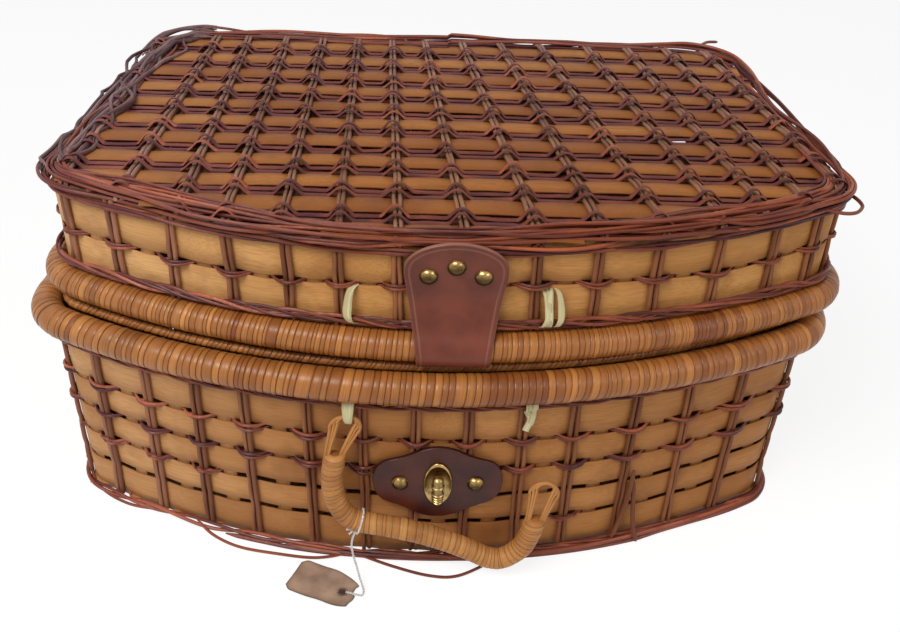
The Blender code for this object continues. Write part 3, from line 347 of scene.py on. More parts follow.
LID_TIE_BANDS = {  # distance round the wall, width, sway
    "left": ((-0.0520, 0.0046, -0.0034), (-0.0502, 0.0016, -0.0046)),
    "right": (
        (0.0496, 0.0030, 0.0036), (0.0526, 0.0030, 0.0014),
        (0.0552, 0.0034, -0.0008), (0.0574, 0.0036, 0.0034),
    ),
}
RAFFIA_THICKNESS = 0.00045

# Camera fitted to the photograph
LENS = 42.0
CAMERA_PLACE = (-0.009623, -0.607249, 0.509084)
CAMERA_RIGHT = (0.999267, -0.012583, 0.036155)
CAMERA_UP = (-0.022044, 0.583008, 0.812167)
CAMERA_BACK = (-0.031298, -0.812369, 0.582303)

# Light: name, place, size and power of each softbox, and how bright floor and surroundings are
SOFTBOXES = (
    ("key_light", (-0.55, -0.75, 1.25), (0.8, 0.5), 12.5),
    ("fill_light", (0.95, -0.85, 0.95), (0.7, 0.5), 3.2),
)
LIGHT_TARGET = (0.0, 0.0, 0.10)
FLOOR_GLOW = 1.15
FLOOR_GLOW_SEEN = 0.72
SURROUNDINGS = 0.27

random = np.random.default_rng(7)


# Small sums


def ramp(value):
    return np.clip(value, 0.0, 1.0)


def bell(value, width):
    return np.exp(-((value / width) ** 2))


def unit(vectors):
    return vectors / np.linalg.norm(vectors, axis=-1, keepdims=True)


def stack(*columns):
    return np.stack(np.broadcast_arrays(*columns), axis=-1)


def ease(share):
    return share * share * (3 - 2 * share)


def circle(count):
    return np.arange(count) * 2 * math.pi / count


def gaps_between(values, places):
    return np.abs(np.subtract.outer(values, places))


def from_ends(along):
    return np.minimum(along - along[0], along[-1] - along)


def lookup(value, table):
    """A value read from a table of places and values."""
    return np.interp(value, *np.array(table).T)


def measure(points):
    """How far along a route each of its points lies."""
    return np.concatenate([[0.0], np.cumsum(np.linalg.norm(np.diff(points, axis=0), axis=1))])


def read_at(place, marks, values):
    """Points or directions between those known at the marks."""
    return np.stack([np.interp(place, marks, column) for column in values.T], axis=-1)


def wander(count, size, knots, closed=True):
    """A smooth random drift along a strand."""
    values = random.normal(0.0, size, knots)
    if closed:
        values[-1] = values[0]
    place = np.linspace(0.0, knots - 1, count)
    lower = np.minimum(place.astype(int), knots - 2)
    share = ease(place - lower)
    return values[lower] * (1 - share) + values[lower + 1] * share


def drift(along, size, knots):
    """The same for a strand with two ends."""
    return wander(len(along), size, knots, closed=False)


def link_object(name, data):
    obj = bpy.data.objects.new(name, data)
    bpy.context.scene.collection.objects.link(obj)
    return obj


# Shading


class Shading:
    """A node tree, with short calls that add nodes to it."""

    def __init__(self, owner):
        owner.use_nodes = True
        self.tree = owner.node_tree

    def set(self, socket, value):
        if isinstance(value, bpy.types.NodeSocket):
            self.tree.links.new(value, socket)
        else:
            socket.default_value = (*value, 1.0) if isinstance(value, tuple) else value

    def node(self, kind, **inputs):
        node = self.tree.nodes.new("ShaderNode" + kind)
        for name, value in inputs.items():
            self.set(node.inputs[name.replace("_", " ")], value)
        return node

    def math(self, operation, first, second):
        node = self.node("Math")
        node.operation = operation
        self.set(node.inputs[0], first)
        self.set(node.inputs[1], second)
        return node.outputs[0]

    def mix(self, share, first, second, blend="MIX"):
        node = self.node("Mix")
        node.data_type = "RGBA"
        node.blend_type = blend
        colours = [socket for socket in node.inputs if socket.type == "RGBA"]
        for socket, value in zip((node.inputs[0], *colours), (share, first, second)):
            self.set(socket, value)
        return next(socket for socket in node.outputs if socket.type == "RGBA")

    def noise(self, vector, scale, detail):
        return self.node("TexNoise", Vector=vector, Scale=scale, Detail=detail).outputs["Fac"]

    def range(self, value, low, high, to_low=0.0, to_high=1.0):
        node = self.node("MapRange", Value=value, From_Min=low, From_Max=high, To_Min=to_low, To_Max=to_high)
        return node.outputs["Result"]

    def split(self, vector):
        return self.node("SeparateXYZ", Vector=vector).outputs

    def attribute(self, name):
        node = self.node("Attribute")
        node.attribute_name = name
        return node.outputs

    def whiten(self, shown, white, seen, output):
        """Rays that see a background get this share of the white shader, others only the one shown."""
        paths = self.node("LightPath").outputs
        either = self.math("ADD", paths["Is Camera Ray"], paths["Is Glossy Ray"])
        either = self.math("ADD", either, paths["Is Transmission Ray"])
        share = self.math("MULTIPLY", self.math("MINIMUM", either, 1.0), seen)
        mix = self.node("MixShader")
        for socket, value in zip(mix.inputs, (share, shown, white)):
            self.set(socket, value)
        self.set(self.tree.nodes[output].inputs["Surface"], mix.outputs["Shader"])


class Surface(Shading):
    """A material with one principled shader."""

    def __init__(self, name, roughness, metallic=0.0, specular=0.5):
        self.material = bpy.data.materials.new(name)
        super().__init__(self.material)
        self.shader = self.tree.nodes["Principled BSDF"]
        self.roughness = roughness
        looks = {"Roughness": roughness, "Metallic": metallic, "Specular IOR Level": specular}
        for socket, value in looks.items():
            self.shader.inputs[socket].default_value = value

    def place(self):
        return self.node("TexCoord").outputs["Object"]

    def vary_roughness(self, value, low, high, less, more):
        rough = self.range(value, low, high, self.roughness - less, self.roughness + more)
        self.set(self.shader.inputs["Roughness"], rough)

    def relief(self, height, strength, distance):
        bump = self.node("Bump", Strength=strength, Distance=distance, Height=height)
        self.set(self.shader.inputs["Normal"], bump.outputs["Normal"])

    def finish(self, colour):
        self.set(self.shader.inputs["Base Color"], colour)
        return self.material


def fibre_material(name, dark, light, stain_and_shade, roughness, streaks=(35.0, 1400.0), specular=0.15, fade=1.0):
    """Cane or reed: streaks, a shade for each strand, stain, wear with painted shade, and painted light at
    the left and back.
    """
    fibre = Surface(name, roughness, specular=specular)
    along, across, shade = fibre.split(fibre.attribute("fibre")["Vector"])
    grain = fibre.node(
        "CombineXYZ",
        X=fibre.math("MULTIPLY", along, streaks[0]),
        Y=fibre.math("MULTIPLY", across, streaks[1]),
        Z=fibre.math("MULTIPLY", shade, 37.0),
    )
    streak = fibre.noise(grain.outputs["Vector"], 1.0, 4.0)
    place = fibre.place()
    colour = fibre.mix(fibre.range(shade, 0.0, 1.0), dark, light)
    colour = fibre.mix(fibre.math("MULTIPLY", fibre.range(streak, 0.42, 0.72), 0.55), colour, dark)
    colour = fibre.mix(fibre.range(fibre.noise(place, 38.0, 3.0), 0.52, 0.78, 0.0, 0.55), colour, stain_and_shade)
    # Wear and painted shade: worn edges, the shaded edges of flat strips and the grooves between wraps
    # darken towards this colour
    colour = fibre.mix(fibre.math("MULTIPLY", fibre.attribute("wear")["Fac"], 0.75), colour, stain_and_shade)
    x, y, _ = fibre.split(place)
    # Painted light: towards the left and the back the colour is multiplied by a pale, cool tint, standing in
    # for brighter, hazier light there
    at_left = fibre.range(x, -0.05, -0.18, 0.0, fade)
    at_back = fibre.range(y, -0.06, 0.13, 0.0, 0.8 * fade)
    colour = fibre.mix(fibre.math("MAXIMUM", at_left, at_back), colour, PAINTED_LIGHT_TINT, "MULTIPLY")
    fibre.vary_roughness(streak, 0.3, 0.7, 0.08, 0.12)
    fibre.relief(streak, 0.25, 0.0004)
    return fibre.finish(colour)


def leather_material(name, dark, light, line, roughness):
    """Smooth leather: soft mottling, fine pores, a lighter pressed line and darker edges."""
    leather = Surface(name, roughness, specular=0.3)
    place = leather.place()
    pores = leather.noise(place, 1500.0, 3.0)
    colour = leather.mix(leather.range(leather.noise(place, 55.0, 4.0), 0.35, 0.65), dark, light)
    colour = leather.mix(leather.range(pores, 0.5, 0.8, 0.0, 0.3), colour, dark)
    colour = leather.mix(leather.attribute("wear")["Fac"], colour, line)
    leather.vary_roughness(pores, 0.3, 0.7, 0.06, 0.10)
    leather.relief(pores, 0.18, 0.0002)
    return leather.finish(colour)


def brass_material(name, dark, light, roughness, shadow):
    """Aged brass, with painted shade where it faces down."""
    brass = Surface(name, roughness, metallic=1.0)
    tarnish = brass.noise(brass.place(), 260.0, 5.0)
    colour = brass.mix(brass.range(tarnish, 0.4, 0.75), light, dark)
    # Painted shade: faces that point lower than the shadow level darken towards a third of the dark colour
    facing = brass.split(brass.node("NewGeometry").outputs["Normal"])["Z"]
    under = brass.range(facing, shadow, shadow - 0.6, 0.0, 0.85)
    brass.vary_roughness(tarnish, 0.3, 0.8, 0.06, 0.22)
    return brass.finish(brass.mix(under, colour, tuple(0.35 * part for part in dark)))


def card_material(name, dark, light):
    card = Surface(name, 0.85, specular=0.2)
    place = card.place()
    specks = card.noise(place, 900.0, 2.0)
    colour = card.mix(card.range(card.noise(place, 70.0, 5.0), 0.35, 0.7), light, dark)
    colour = card.mix(card.range(specks, 0.6, 0.75, 0.0, 0.35), colour, dark)
    # The card darkens at its edges, and painted shade round the hole darkens it towards near black
    colour = card.mix(card.math("MULTIPLY", card.attribute("wear")["Fac"], 0.9), colour, (0.03, 0.02, 0.015))
    card.relief(specks, 0.2, 0.0002)
    return card.finish(colour)


# Dark and light colours, the colour for stains, wear and painted shade, then roughness
WALL_SPLINT = fibre_material(
    "wall_splint", (0.34, 0.125, 0.032), (0.62, 0.285, 0.090), (0.20, 0.062, 0.018), 0.50
)
LID_SPLINT = fibre_material(
    "lid_splint", (0.39, 0.150, 0.038), (0.70, 0.345, 0.106), (0.22, 0.070, 0.020), 0.50
)
TOP_SPLINT = fibre_material(
    "top_splint", (0.25, 0.075, 0.016), (0.44, 0.162, 0.038), (0.17, 0.05, 0.014), 0.50
)
TOP_REED = fibre_material("top_reed", (0.16, 0.062, 0.034), (0.38, 0.18, 0.10), (0.10, 0.035, 0.022), 0.45)
STAKE_REED = fibre_material(
    "stake_reed", (0.14, 0.042, 0.017), (0.38, 0.145, 0.060), (0.07, 0.020, 0.010), 0.45
)
RED_REED = fibre_material(
    "red_reed", (0.070, 0.012, 0.010), (0.46, 0.110, 0.040), (0.09, 0.016, 0.014), 0.36, specular=0.25
)
WEAVER_REED = fibre_material(
    "weaver_reed", (0.086, 0.017, 0.017), (0.40, 0.100, 0.044), (0.07, 0.013, 0.013), 0.42
)
OLIVE_REED = fibre_material(
    "olive_reed", (0.074, 0.031, 0.025), (0.28, 0.145, 0.105), (0.09, 0.020, 0.018), 0.45
)
CANE = fibre_material(
    "wrapped_cane", (0.22, 0.058, 0.010), (0.60, 0.235, 0.052), (0.08, 0.018, 0.006), 0.33,
    specular=0.38, fade=0.4,
)
GRIP_CANE = fibre_material(
    "grip_cane", (0.32, 0.11, 0.028), (0.64, 0.30, 0.090), (0.20, 0.07, 0.02), 0.40, specular=0.25, fade=0.2
)
LEATHER = leather_material(
    "strap_leather", (0.125, 0.027, 0.014), (0.19, 0.044, 0.024), (0.28, 0.12, 0.08), 0.38
)
PATCH = leather_material(
    "patch_leather", (0.042, 0.007, 0.004), (0.092, 0.016, 0.007), (0.035, 0.008, 0.006), 0.30
)
# Brass: dark and light colours, roughness, and the upward facing below which the painted shade begins
BRASS = brass_material("aged_brass", (0.16, 0.10, 0.032), (0.50, 0.34, 0.14), 0.24, 0.15)
DOME_BRASS = brass_material("dome_brass", (0.10, 0.06, 0.02), (0.46, 0.30, 0.11), 0.20, 0.62)
RAFFIA = fibre_material(
    "raffia", (0.42, 0.33, 0.14), (0.80, 0.74, 0.46), (0.40, 0.30, 0.12), 0.6, (60.0, 3000.0), fade=0.4
)
STRING = fibre_material(
    "white_string", (0.50, 0.48, 0.46), (0.88, 0.86, 0.84), (0.4, 0.38, 0.36), 0.8, (300.0, 2500.0), fade=0.0
)
CARD = card_material("tag_card", (0.29, 0.185, 0.130), (0.51, 0.345, 0.245))


# Camera, floor and light


def set_camera():
    data = bpy.data.cameras.new("camera")
    data.lens = LENS
    camera = link_object("camera", data)
    axes = zip(CAMERA_RIGHT, CAMERA_UP, CAMERA_BACK, CAMERA_PLACE)
    camera.matrix_world = Matrix([*axes, (0.0, 0.0, 0.0, 1.0)])
    bpy.context.scene.camera = camera


def set_stage():
    bpy.ops.mesh.primitive_plane_add(size=8.0)
    floor = bpy.context.object
    floor.name = "floor"
    pale = Surface("pale_floor", 0.9)
    pale.finish((0.9, 0.9, 0.9))
    glow = pale.node("Emission", Color=WHITE, Strength=FLOOR_GLOW)
    pale.whiten(pale.shader.outputs["BSDF"], glow.outputs["Emission"], FLOOR_GLOW_SEEN, "Material Output")
    floor.data.materials.append(pale.material)

    scene = bpy.context.scene
    scene.world = bpy.data.worlds.new("studio")
    studio = Shading(scene.world)
    dim = studio.tree.nodes["Background"]
    studio.set(dim.inputs["Color"], WHITE)
    studio.set(dim.inputs["Strength"], SURROUNDINGS)
    white = studio.node("Background", Color=WHITE)
    studio.whiten(dim.outputs["Background"], white.outputs["Background"], 1.0, "World Output")
    for name, place, size, power in SOFTBOXES:
        light = bpy.data.lights.new(name, "AREA")
        light.shape = "RECTANGLE"
        light.size, light.size_y = size
        light.energy = power
        lamp = link_object(name, light)
        lamp.location = place
        lamp.rotation_euler = (Vector(LIGHT_TARGET) - Vector(place)).to_track_quat("-Z", "Y").to_euler()
    scene.view_settings.view_transform = "Standard"


# Plan outline


def arc(centre, radius, start, end):
    headings = np.linspace(start, end, max(3, int(radius * (end - start) / TRACE_STEP)))
    outward = np.column_stack([np.sin(headings), -np.cos(headings)])
    return centre + outward * radius, outward


def run(start, end):
    steps = max(3, int(np.linalg.norm(end - start) / TRACE_STEP))
    along = unit(end - start)
    share = np.linspace(0.0, 1.0, steps)[:, None]
    return start + (end - start) * share, np.tile((along[1], -along[0]), (steps, 1))


def trace_half(depth):
    """The right-hand half of the half-moon, from the middle of the front to the middle of the back."""
    bow = (FRONT_HALF_WIDTH**2 + FRONT_BOW**2) / (2 * FRONT_BOW)
    side = np.array((BACK_HALF_WIDTH - FRONT_HALF_WIDTH, depth - FRONT_BOW))
    lean = math.atan2(side[1], side[0])
    side = unit(side)
    inward = np.array((-side[1], side[0]))
    near = np.array((FRONT_HALF_WIDTH, FRONT_BOW)) + inward * FRONT_CORNER_RADIUS
    offset = near - (0.0, bow)
    along = offset @ side
    root = math.sqrt(along**2 - offset @ offset + (bow - FRONT_CORNER_RADIUS) ** 2)
    corner = near + side * min(-along - root, -along + root, key=abs)
    bow_end = math.atan2(corner[0], bow - corner[1])
    trim = BACK_CORNER_RADIUS * math.tan((math.pi - lean) / 2)
    side_end = np.array((BACK_HALF_WIDTH, depth)) - side * trim
    back_centre = side_end + inward * BACK_CORNER_RADIUS
    pieces = [
        arc(np.array((0.0, bow)), bow, 0.0, bow_end),
        arc(corner, FRONT_CORNER_RADIUS, bow_end, lean),
        run(corner - inward * FRONT_CORNER_RADIUS, side_end),
        arc(back_centre, BACK_CORNER_RADIUS, lean, math.pi),
        run(np.array((back_centre[0], depth)), np.array((0.0, depth))),
    ]
    return [np.vstack([pieces[0][part], *[piece[part][1:] for piece in pieces[1:]]]) for part in (0, 1)]


class Outline:
    """A closed half-moon, read by distance from the middle of its front, first to the right."""

    def __init__(self, setback, shift):
        halves = trace_half(BACK_Y - FRONT_Y - setback)
        both = [np.vstack([half, half[-2::-1] * (-1.0, 1.0)]) for half in halves]
        self.points = both[0] + (shift, FRONT_Y + setback)
        self.outward = both[1]
        self.marks = measure(both[0])
        self.length = self.marks[-1]

    def at(self, distance, inset=0.0):
        """Points this far inside the outline, and the outward directions there."""
        place = np.mod(distance, self.length)
        outward = unit(read_at(place, self.marks, self.outward))
        points = read_at(place, self.marks, self.points)
        return points - outward * np.expand_dims(np.broadcast_to(inset, place.shape), -1), outward

    def route(self, distance, inset, height):
        """A route round the outline, with the upward and outward directions along it."""
        points, outward = self.at(distance, inset)
        out = stack(outward[..., 0], outward[..., 1], 0.0)
        return stack(points[..., 0], points[..., 1], height), np.broadcast_to(UP, out.shape), out

    def stations(self):
        return np.arange(RING_STATIONS) * self.length / RING_STATIONS

    def chord(self, start, along, inset):
        """Where a line crosses the outline: the nearest and furthest distances along it."""
        ring = self.at(self.marks, inset)[0] - start
        off = ring @ np.array((-along[1], along[0]))
        reach = ring @ np.asarray(along)
        turns = np.nonzero(np.sign(off[:-1]) != np.sign(off[1:]))[0]
        share = off[turns] / (off[turns] - off[turns + 1])
        found = reach[turns] + share * (reach[turns + 1] - reach[turns])
        return found.min(), found.max()


BOTTOM = Outline(0.0, 0.0)
LID = Outline(LID_SETBACK, LID_SHIFT)


def from_front(distance, outline):
    """Distances round an outline, counted both ways from the middle of its front."""
    return (distance + outline.length / 2) % outline.length - outline.length / 2


def bent(distance, outline, bends):
    return lookup(from_front(distance, outline), bends)


def all_stakes(seen, outline):
    """The stakes seen in front, and more at an even pitch round the sides and back."""
    first, last = seen[-1], seen[0] + outline.length
    count = round((last - first) / STAKE_PITCH)
    return np.array([*seen, *[first + (last - first) * step / count for step in range(1, count)]])


# Pieces


def place_piece(mesh, sharp, name, material, body, slot, nodes=()):
    mesh.polygons.foreach_set("use_smooth", np.ones(len(mesh.polygons), bool))
    mesh.set_sharp_from_angle(angle=math.radians(sharp))
    obj = link_object(name, mesh)
    mesh.materials.append(material)
    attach(obj, body)
    if nodes:
        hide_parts(*nodes)
    return obj


def keep_values(mesh, name, kind, field, values):
    attribute = mesh.attributes.new(name, kind, "POINT")
    attribute.data.foreach_set(field, np.asarray(values, np.float32).ravel())


def add_mesh(points, faces, wear, sharp, name, *piece):
    """A mesh piece from points and faces, with its doubles merged."""
    mesh = bpy.data.meshes.new(name)
    mesh.from_pydata([tuple(point) for point in points], [], faces)
    keep_values(mesh, "wear", "FLOAT", "value", wear)
    shape = bmesh.new()
    shape.from_mesh(mesh)
    bmesh.ops.remove_doubles(shape, verts=shape.verts, dist=0.000004)
    bmesh.ops.recalc_face_normals(shape, faces=shape.faces)
    shape.to_mesh(mesh)
    shape.free()
    return place_piece(mesh, sharp, name, *piece)


# Strands


def flat_profile(width, thickness):
    """A flat splint in section, a little crowned: across, out, and how much each edge darkens, as wear and
    painted shade.
    """
    half, rim, soft = width / 2, thickness / 2, thickness * 0.35
    across = (
        -half + soft, 0.0, half - soft, half, half, half - soft,
        0.3 * half, -0.3 * half, -half + soft, -half, -half,
    )
    out = (
        -rim, -rim, -rim, -rim + soft, rim - soft, rim,
        rim * 1.25, rim * 1.25, rim, rim - soft, -rim + soft,
    )
    edge = (0.6, 0.0, 0.6, 1.0, 1.0, 0.45, 0.0, 0.0, 0.45, 1.0, 1.0)
    return np.column_stack([across, out, edge])


def round_profile(radius, sides=8, flatten=1.0):
    angles = circle(sides) - math.pi / 2
    return np.column_stack([radius * np.cos(angles), radius * flatten * np.sin(angles), np.zeros(sides)])


class Strands:
    """Many strands as one mesh. Each point keeps its place on its strand, a shade, and wear with painted
    shade.
    """

    def __init__(self):
        self.points, self.faces, self.fibre, self.wear, self.caps = [], [], [], [], []
        self.count = 0

    def grid(self, rings, fibre, wear, closed, flipped=False):
        """Joins rings of points, each round a strand, with quads."""
        count, sides = rings.shape[:2]
        rows = count if closed else count - 1
        step, side = np.arange(rows)[:, None], np.arange(sides)[None, :]
        after, beside = (step + 1) % count, (side + 1) % sides
        corners = [step * sides + side, step * sides + beside, after * sides + beside, after * sides + side]
        if flipped:
            corners.reverse()
        self.faces.append(stack(*corners).reshape(-1, 4) + self.count)
        if not closed:
            first = self.count + np.arange(sides)
            last = first + (count - 1) * sides
            self.caps += [first, last[::-1]] if flipped else [first[::-1], last]
        self.points.append(rings.reshape(-1, 3))
        self.fibre.append(fibre.reshape(-1, 3))
        self.wear.append(wear.reshape(-1))
        self.count += count * sides

    def add(self, route, side, out, profile, shade, closed=False, scale=1.0):
        """A strand with this section along a route."""
        shape = (len(route), len(profile))
        side, out = np.broadcast_to(side, route.shape), np.broadcast_to(out, route.shape)
        x, y, wear = profile.T[:, None, :, None]
        scale = np.broadcast_to(scale, shape[:1])[:, None, None]
        rings = route[:, None, :] + scale * (x * side[:, None, :] + y * out[:, None, :])
        shade = np.broadcast_to(shade, shape[:1])[:, None]
        fibre = stack(measure(route)[:, None], (x + y)[..., 0], shade)
        flipped = np.dot(np.cross(side[0], out[0]), route[1] - route[0]) < 0
        self.grid(rings, fibre, np.broadcast_to(wear[..., 0], shape), closed, flipped)

    def add_round(self, outline, distance, inset, height, profile, shade, closed=True, scale=1.0):
        """A strand that runs round an outline."""
        self.add(*outline.route(distance, inset, height), profile, shade, closed, scale)

    def add_upright(self, outline, distance, inset, height, profile, shade):
        """A strand that runs up a wall."""
        route, up, out = outline.route(distance, inset, height)
        self.add(route, np.cross(up, out), out, profile, shade)

    def build(self, name, *piece):
        mesh = bpy.data.meshes.new(name)
        points = np.vstack(self.points)
        quads = np.vstack(self.faces)
        sizes = np.concatenate([np.full(len(quads), 4), [len(cap) for cap in self.caps]]).astype(np.int32)
        corners = np.concatenate([quads.ravel(), *self.caps]).astype(np.int32)
        mesh.vertices.add(len(points))
        mesh.vertices.foreach_set("co", points.astype(np.float32).ravel())
        mesh.loops.add(len(corners))
        mesh.loops.foreach_set("vertex_index", corners)
        mesh.polygons.add(len(sizes))
        starts = np.concatenate([[0], np.cumsum(sizes)[:-1]]).astype(np.int32)
        mesh.polygons.foreach_set("loop_start", starts)
        mesh.polygons.foreach_set("loop_total", sizes)
        mesh.update(calc_edges=True)
        keep_values(mesh, "fibre", "FLOAT_VECTOR", "vector", np.vstack(self.fibre))
        keep_values(mesh, "wear", "FLOAT", "value", np.concatenate(self.wear))
        return place_piece(mesh, 50, name, *piece)


def smooth_route(points, per_span):
    """A smooth curve through the points."""
    points = np.asarray(points, float)
    ends = np.vstack([2 * points[0] - points[1], points, 2 * points[-1] - points[-2]])
    a, b, c, d = (corner[:, None, :] for corner in (ends[:-3], ends[1:-2], ends[2:-1], ends[3:]))
    t = (np.arange(per_span) / per_span)[None, :, None]
    curve = (2 * b + (c - a) * t + (2 * a - 5 * b + 4 * c - d) * t**2 + (3 * b - a - 3 * c + d) * t**3) / 2
    return np.vstack([curve.reshape(-1, points.shape[1]), points[-1:]])


def frames_along(route, up=BACK):
    """Directions across a free route: one square to the given direction too, and one nearest to it."""
    ahead = unit(np.gradient(route, axis=0))
    side = unit(np.cross(np.asarray(up, float), ahead))
    return side, np.cross(ahead, side)


# Leather


def edge_distance(points, outline):
    """How far flat points lie from a closed outline."""
    start = np.asarray(outline)
    edge = np.roll(start, -1, axis=0) - start
    gap = points[..., None, :] - start
    share = ramp((gap * edge).sum(-1) / np.maximum((edge * edge).sum(-1), 1e-12))
    return np.linalg.norm(gap - share[..., None] * edge, axis=-1).min(axis=-1)


def closed_faces(flat, open_cell):
    """Faces above, below and round the edges of a grid. Points that coincide count as one."""
    rows, columns = flat.shape[:2]
    count = rows * columns
    first_with = {}
    spots = flat.reshape(-1, 2).round(6).tolist()
    same = [first_with.setdefault(tuple(spot), index) for index, spot in enumerate(spots)]
    faces = []
    for row in range(rows - 1):
        for column in range(columns - 1):
            if open_cell(row, column):
                continue
            a = row * columns + column
            corners = [same[corner] for corner in (a, a + 1, a + columns + 1, a + columns)]
            corners = tuple(corner for place, corner in enumerate(corners) if corner != corners[place - 1])
            if len(set(corners)) > 2:
                faces.append(corners)
    edges = {edge for face in faces for edge in zip(face, face[1:] + face[:1])}
    rim = sorted(edge for edge in edges if (edge[1], edge[0]) not in edges)
    under = [tuple(corner + count for corner in reversed(face)) for face in faces]
    return faces + under + [(second, first, first + count, second + count) for first, second in rim]


def add_sheet(flat, place, outlines, thickness, line, open_cell, *piece):
    """A cut sheet of leather: rounded edges and a pressed line beside them. Flat points become places."""
    distance = np.minimum.reduce([edge_distance(flat, outline) for outline in outlines])
    pressed = bell(distance - line, 0.0004) if line else np.zeros_like(distance)
    rounding = thickness * 0.3 * ramp(1 - distance / 0.0006) ** 2
    upper = place(flat, thickness / 2 - rounding - 0.00025 * pressed)
    lower = place(flat, np.full(flat.shape[:2], -thickness / 2))
    wear = 0.75 * pressed + ramp(1 - distance / 0.0005)
    points = np.concatenate([upper.reshape(-1, 3), lower.reshape(-1, 3)])
    return add_mesh(points, closed_faces(flat, open_cell), np.tile(wear.reshape(-1), 2), 50, *piece)


def build_strap():
    route = smooth_route(STRAP_ROUTE, 6)
    marks = measure(route)
    length = marks[-1]
    tangent = unit(np.gradient(route, axis=0))
    top = STRAP_TOP_ROUND * (1 - np.cos(np.linspace(0.0, math.pi / 2, 26)))
    tip = length - STRAP_TIP_ROUND * (1 - np.cos(np.linspace(math.pi / 2, 0.0, 16)))
    runs = np.concatenate([top, np.linspace(top[-1], tip[0], 100)[1:-1], tip])
    half = lookup(runs, STRAP_WIDTHS)
    for reach, rounding in ((runs, STRAP_TOP_ROUND), (length - runs, STRAP_TIP_ROUND)):
        half = half * np.sqrt(1 - (1 - ramp(reach / rounding)) ** 2)
    eyelet = length - EYELET_FROM_TIP
    hole = EYELET_HALF[0] * np.sqrt(ramp(1 - ((runs - eyelet) / EYELET_HALF[1]) ** 2))
    share = 1 - np.linspace(1.0, 0.0, 34) ** 1.7
    left = -half[:, None] + (half - hole)[:, None] * (1 - share[::-1])[None, :]
    across = np.concatenate([left, -left[:, ::-1]], axis=1)
    flat = stack(across, runs[:, None])
    outline = np.concatenate([np.column_stack([half, runs]), np.column_stack([-half, runs])[::-1]])
    turn = np.linspace(0.0, 2 * math.pi, 24, endpoint=False)
    rim = np.column_stack([EYELET_HALF[0] * np.cos(turn), eyelet + EYELET_HALF[1] * np.sin(turn)])

    def place(points, lift):
        spot = read_at(points[..., 1], marks, route)
        along = read_at(points[..., 1], marks, tangent)
        y = spot[..., 0] + along[..., 1] * lift
        return stack(STRAP_X + points[..., 0], y, spot[..., 1] - along[..., 0] * lift)

    def in_eyelet(row, column):
        return column == len(share) - 1 and max(hole[row], hole[row + 1]) > 0

    piece = ("leather_strap", LEATHER, "lid", "leather", ["strap"])
    add_sheet(flat, place, [outline, rim], STRAP_THICKNESS, PRESSED_LINE, in_eyelet, *piece)


def build_patch():
    along = np.sin(np.linspace(-math.pi / 2, math.pi / 2, 81))
    half = lookup(np.abs(along), PATCH_EDGE)
    share = np.sin(np.linspace(-math.pi / 2, math.pi / 2, 41))
    flat = stack(along[:, None] * PATCH_HALF[0], half[:, None] * share[None, :] * PATCH_HALF[1])
    outline = np.concatenate([flat[:, -1], flat[::-1, 0]])
    lock = middle("lock_plate")

    def place(points, lift):
        distance = lock.x + points[..., 0]
        swell = 0.0005 * sum(bell(distance - stake, 0.007) for stake in BOTTOM_STAKES[7:9])
        spot, outward = BOTTOM.at(distance, PATCH_INSET)
        spot = spot + outward * (lift + swell * (lift > 0))[..., None]
        return np.concatenate([spot, (lock.z + points[..., 1])[..., None]], axis=-1)

    piece = ("leather_patch", PATCH, "bottom", "patch", ["lock_patch"])
    add_sheet(flat, place, [outline], PATCH_THICKNESS, 0.0, lambda row, column: False, *piece)


# Brass


def add_turned(profile, scale, seat, axes, sides, name, material, body, nodes):
    """A turned or oval brass piece, from radii and heights, with axes across, up and out."""
    turn = circle(sides)
    across, up, out = (np.asarray(axis, float) for axis in axes)
    round_seat = scale[0] * np.cos(turn)[:, None] * across + scale[1] * np.sin(turn)[:, None] * up
    seat = np.asarray(seat, float)
    points = np.concatenate([seat + radius * round_seat + height * out for radius, height in profile])
    faces = []
    for start in range(0, len(points) - sides, sides):
        for side in range(sides):
            a, b = start + side, start + (side + 1) % sides
            faces.append((a, b, b + sides, a + sides))
    if profile[0][0] > 0:
        faces.append(tuple(range(sides))[::-1])
    if profile[-1][0] > 0:
        faces.append(tuple(range(len(points) - sides, len(points))))
    add_mesh(points, faces, np.zeros(len(points)), 35, name, material, body, "brass", nodes)


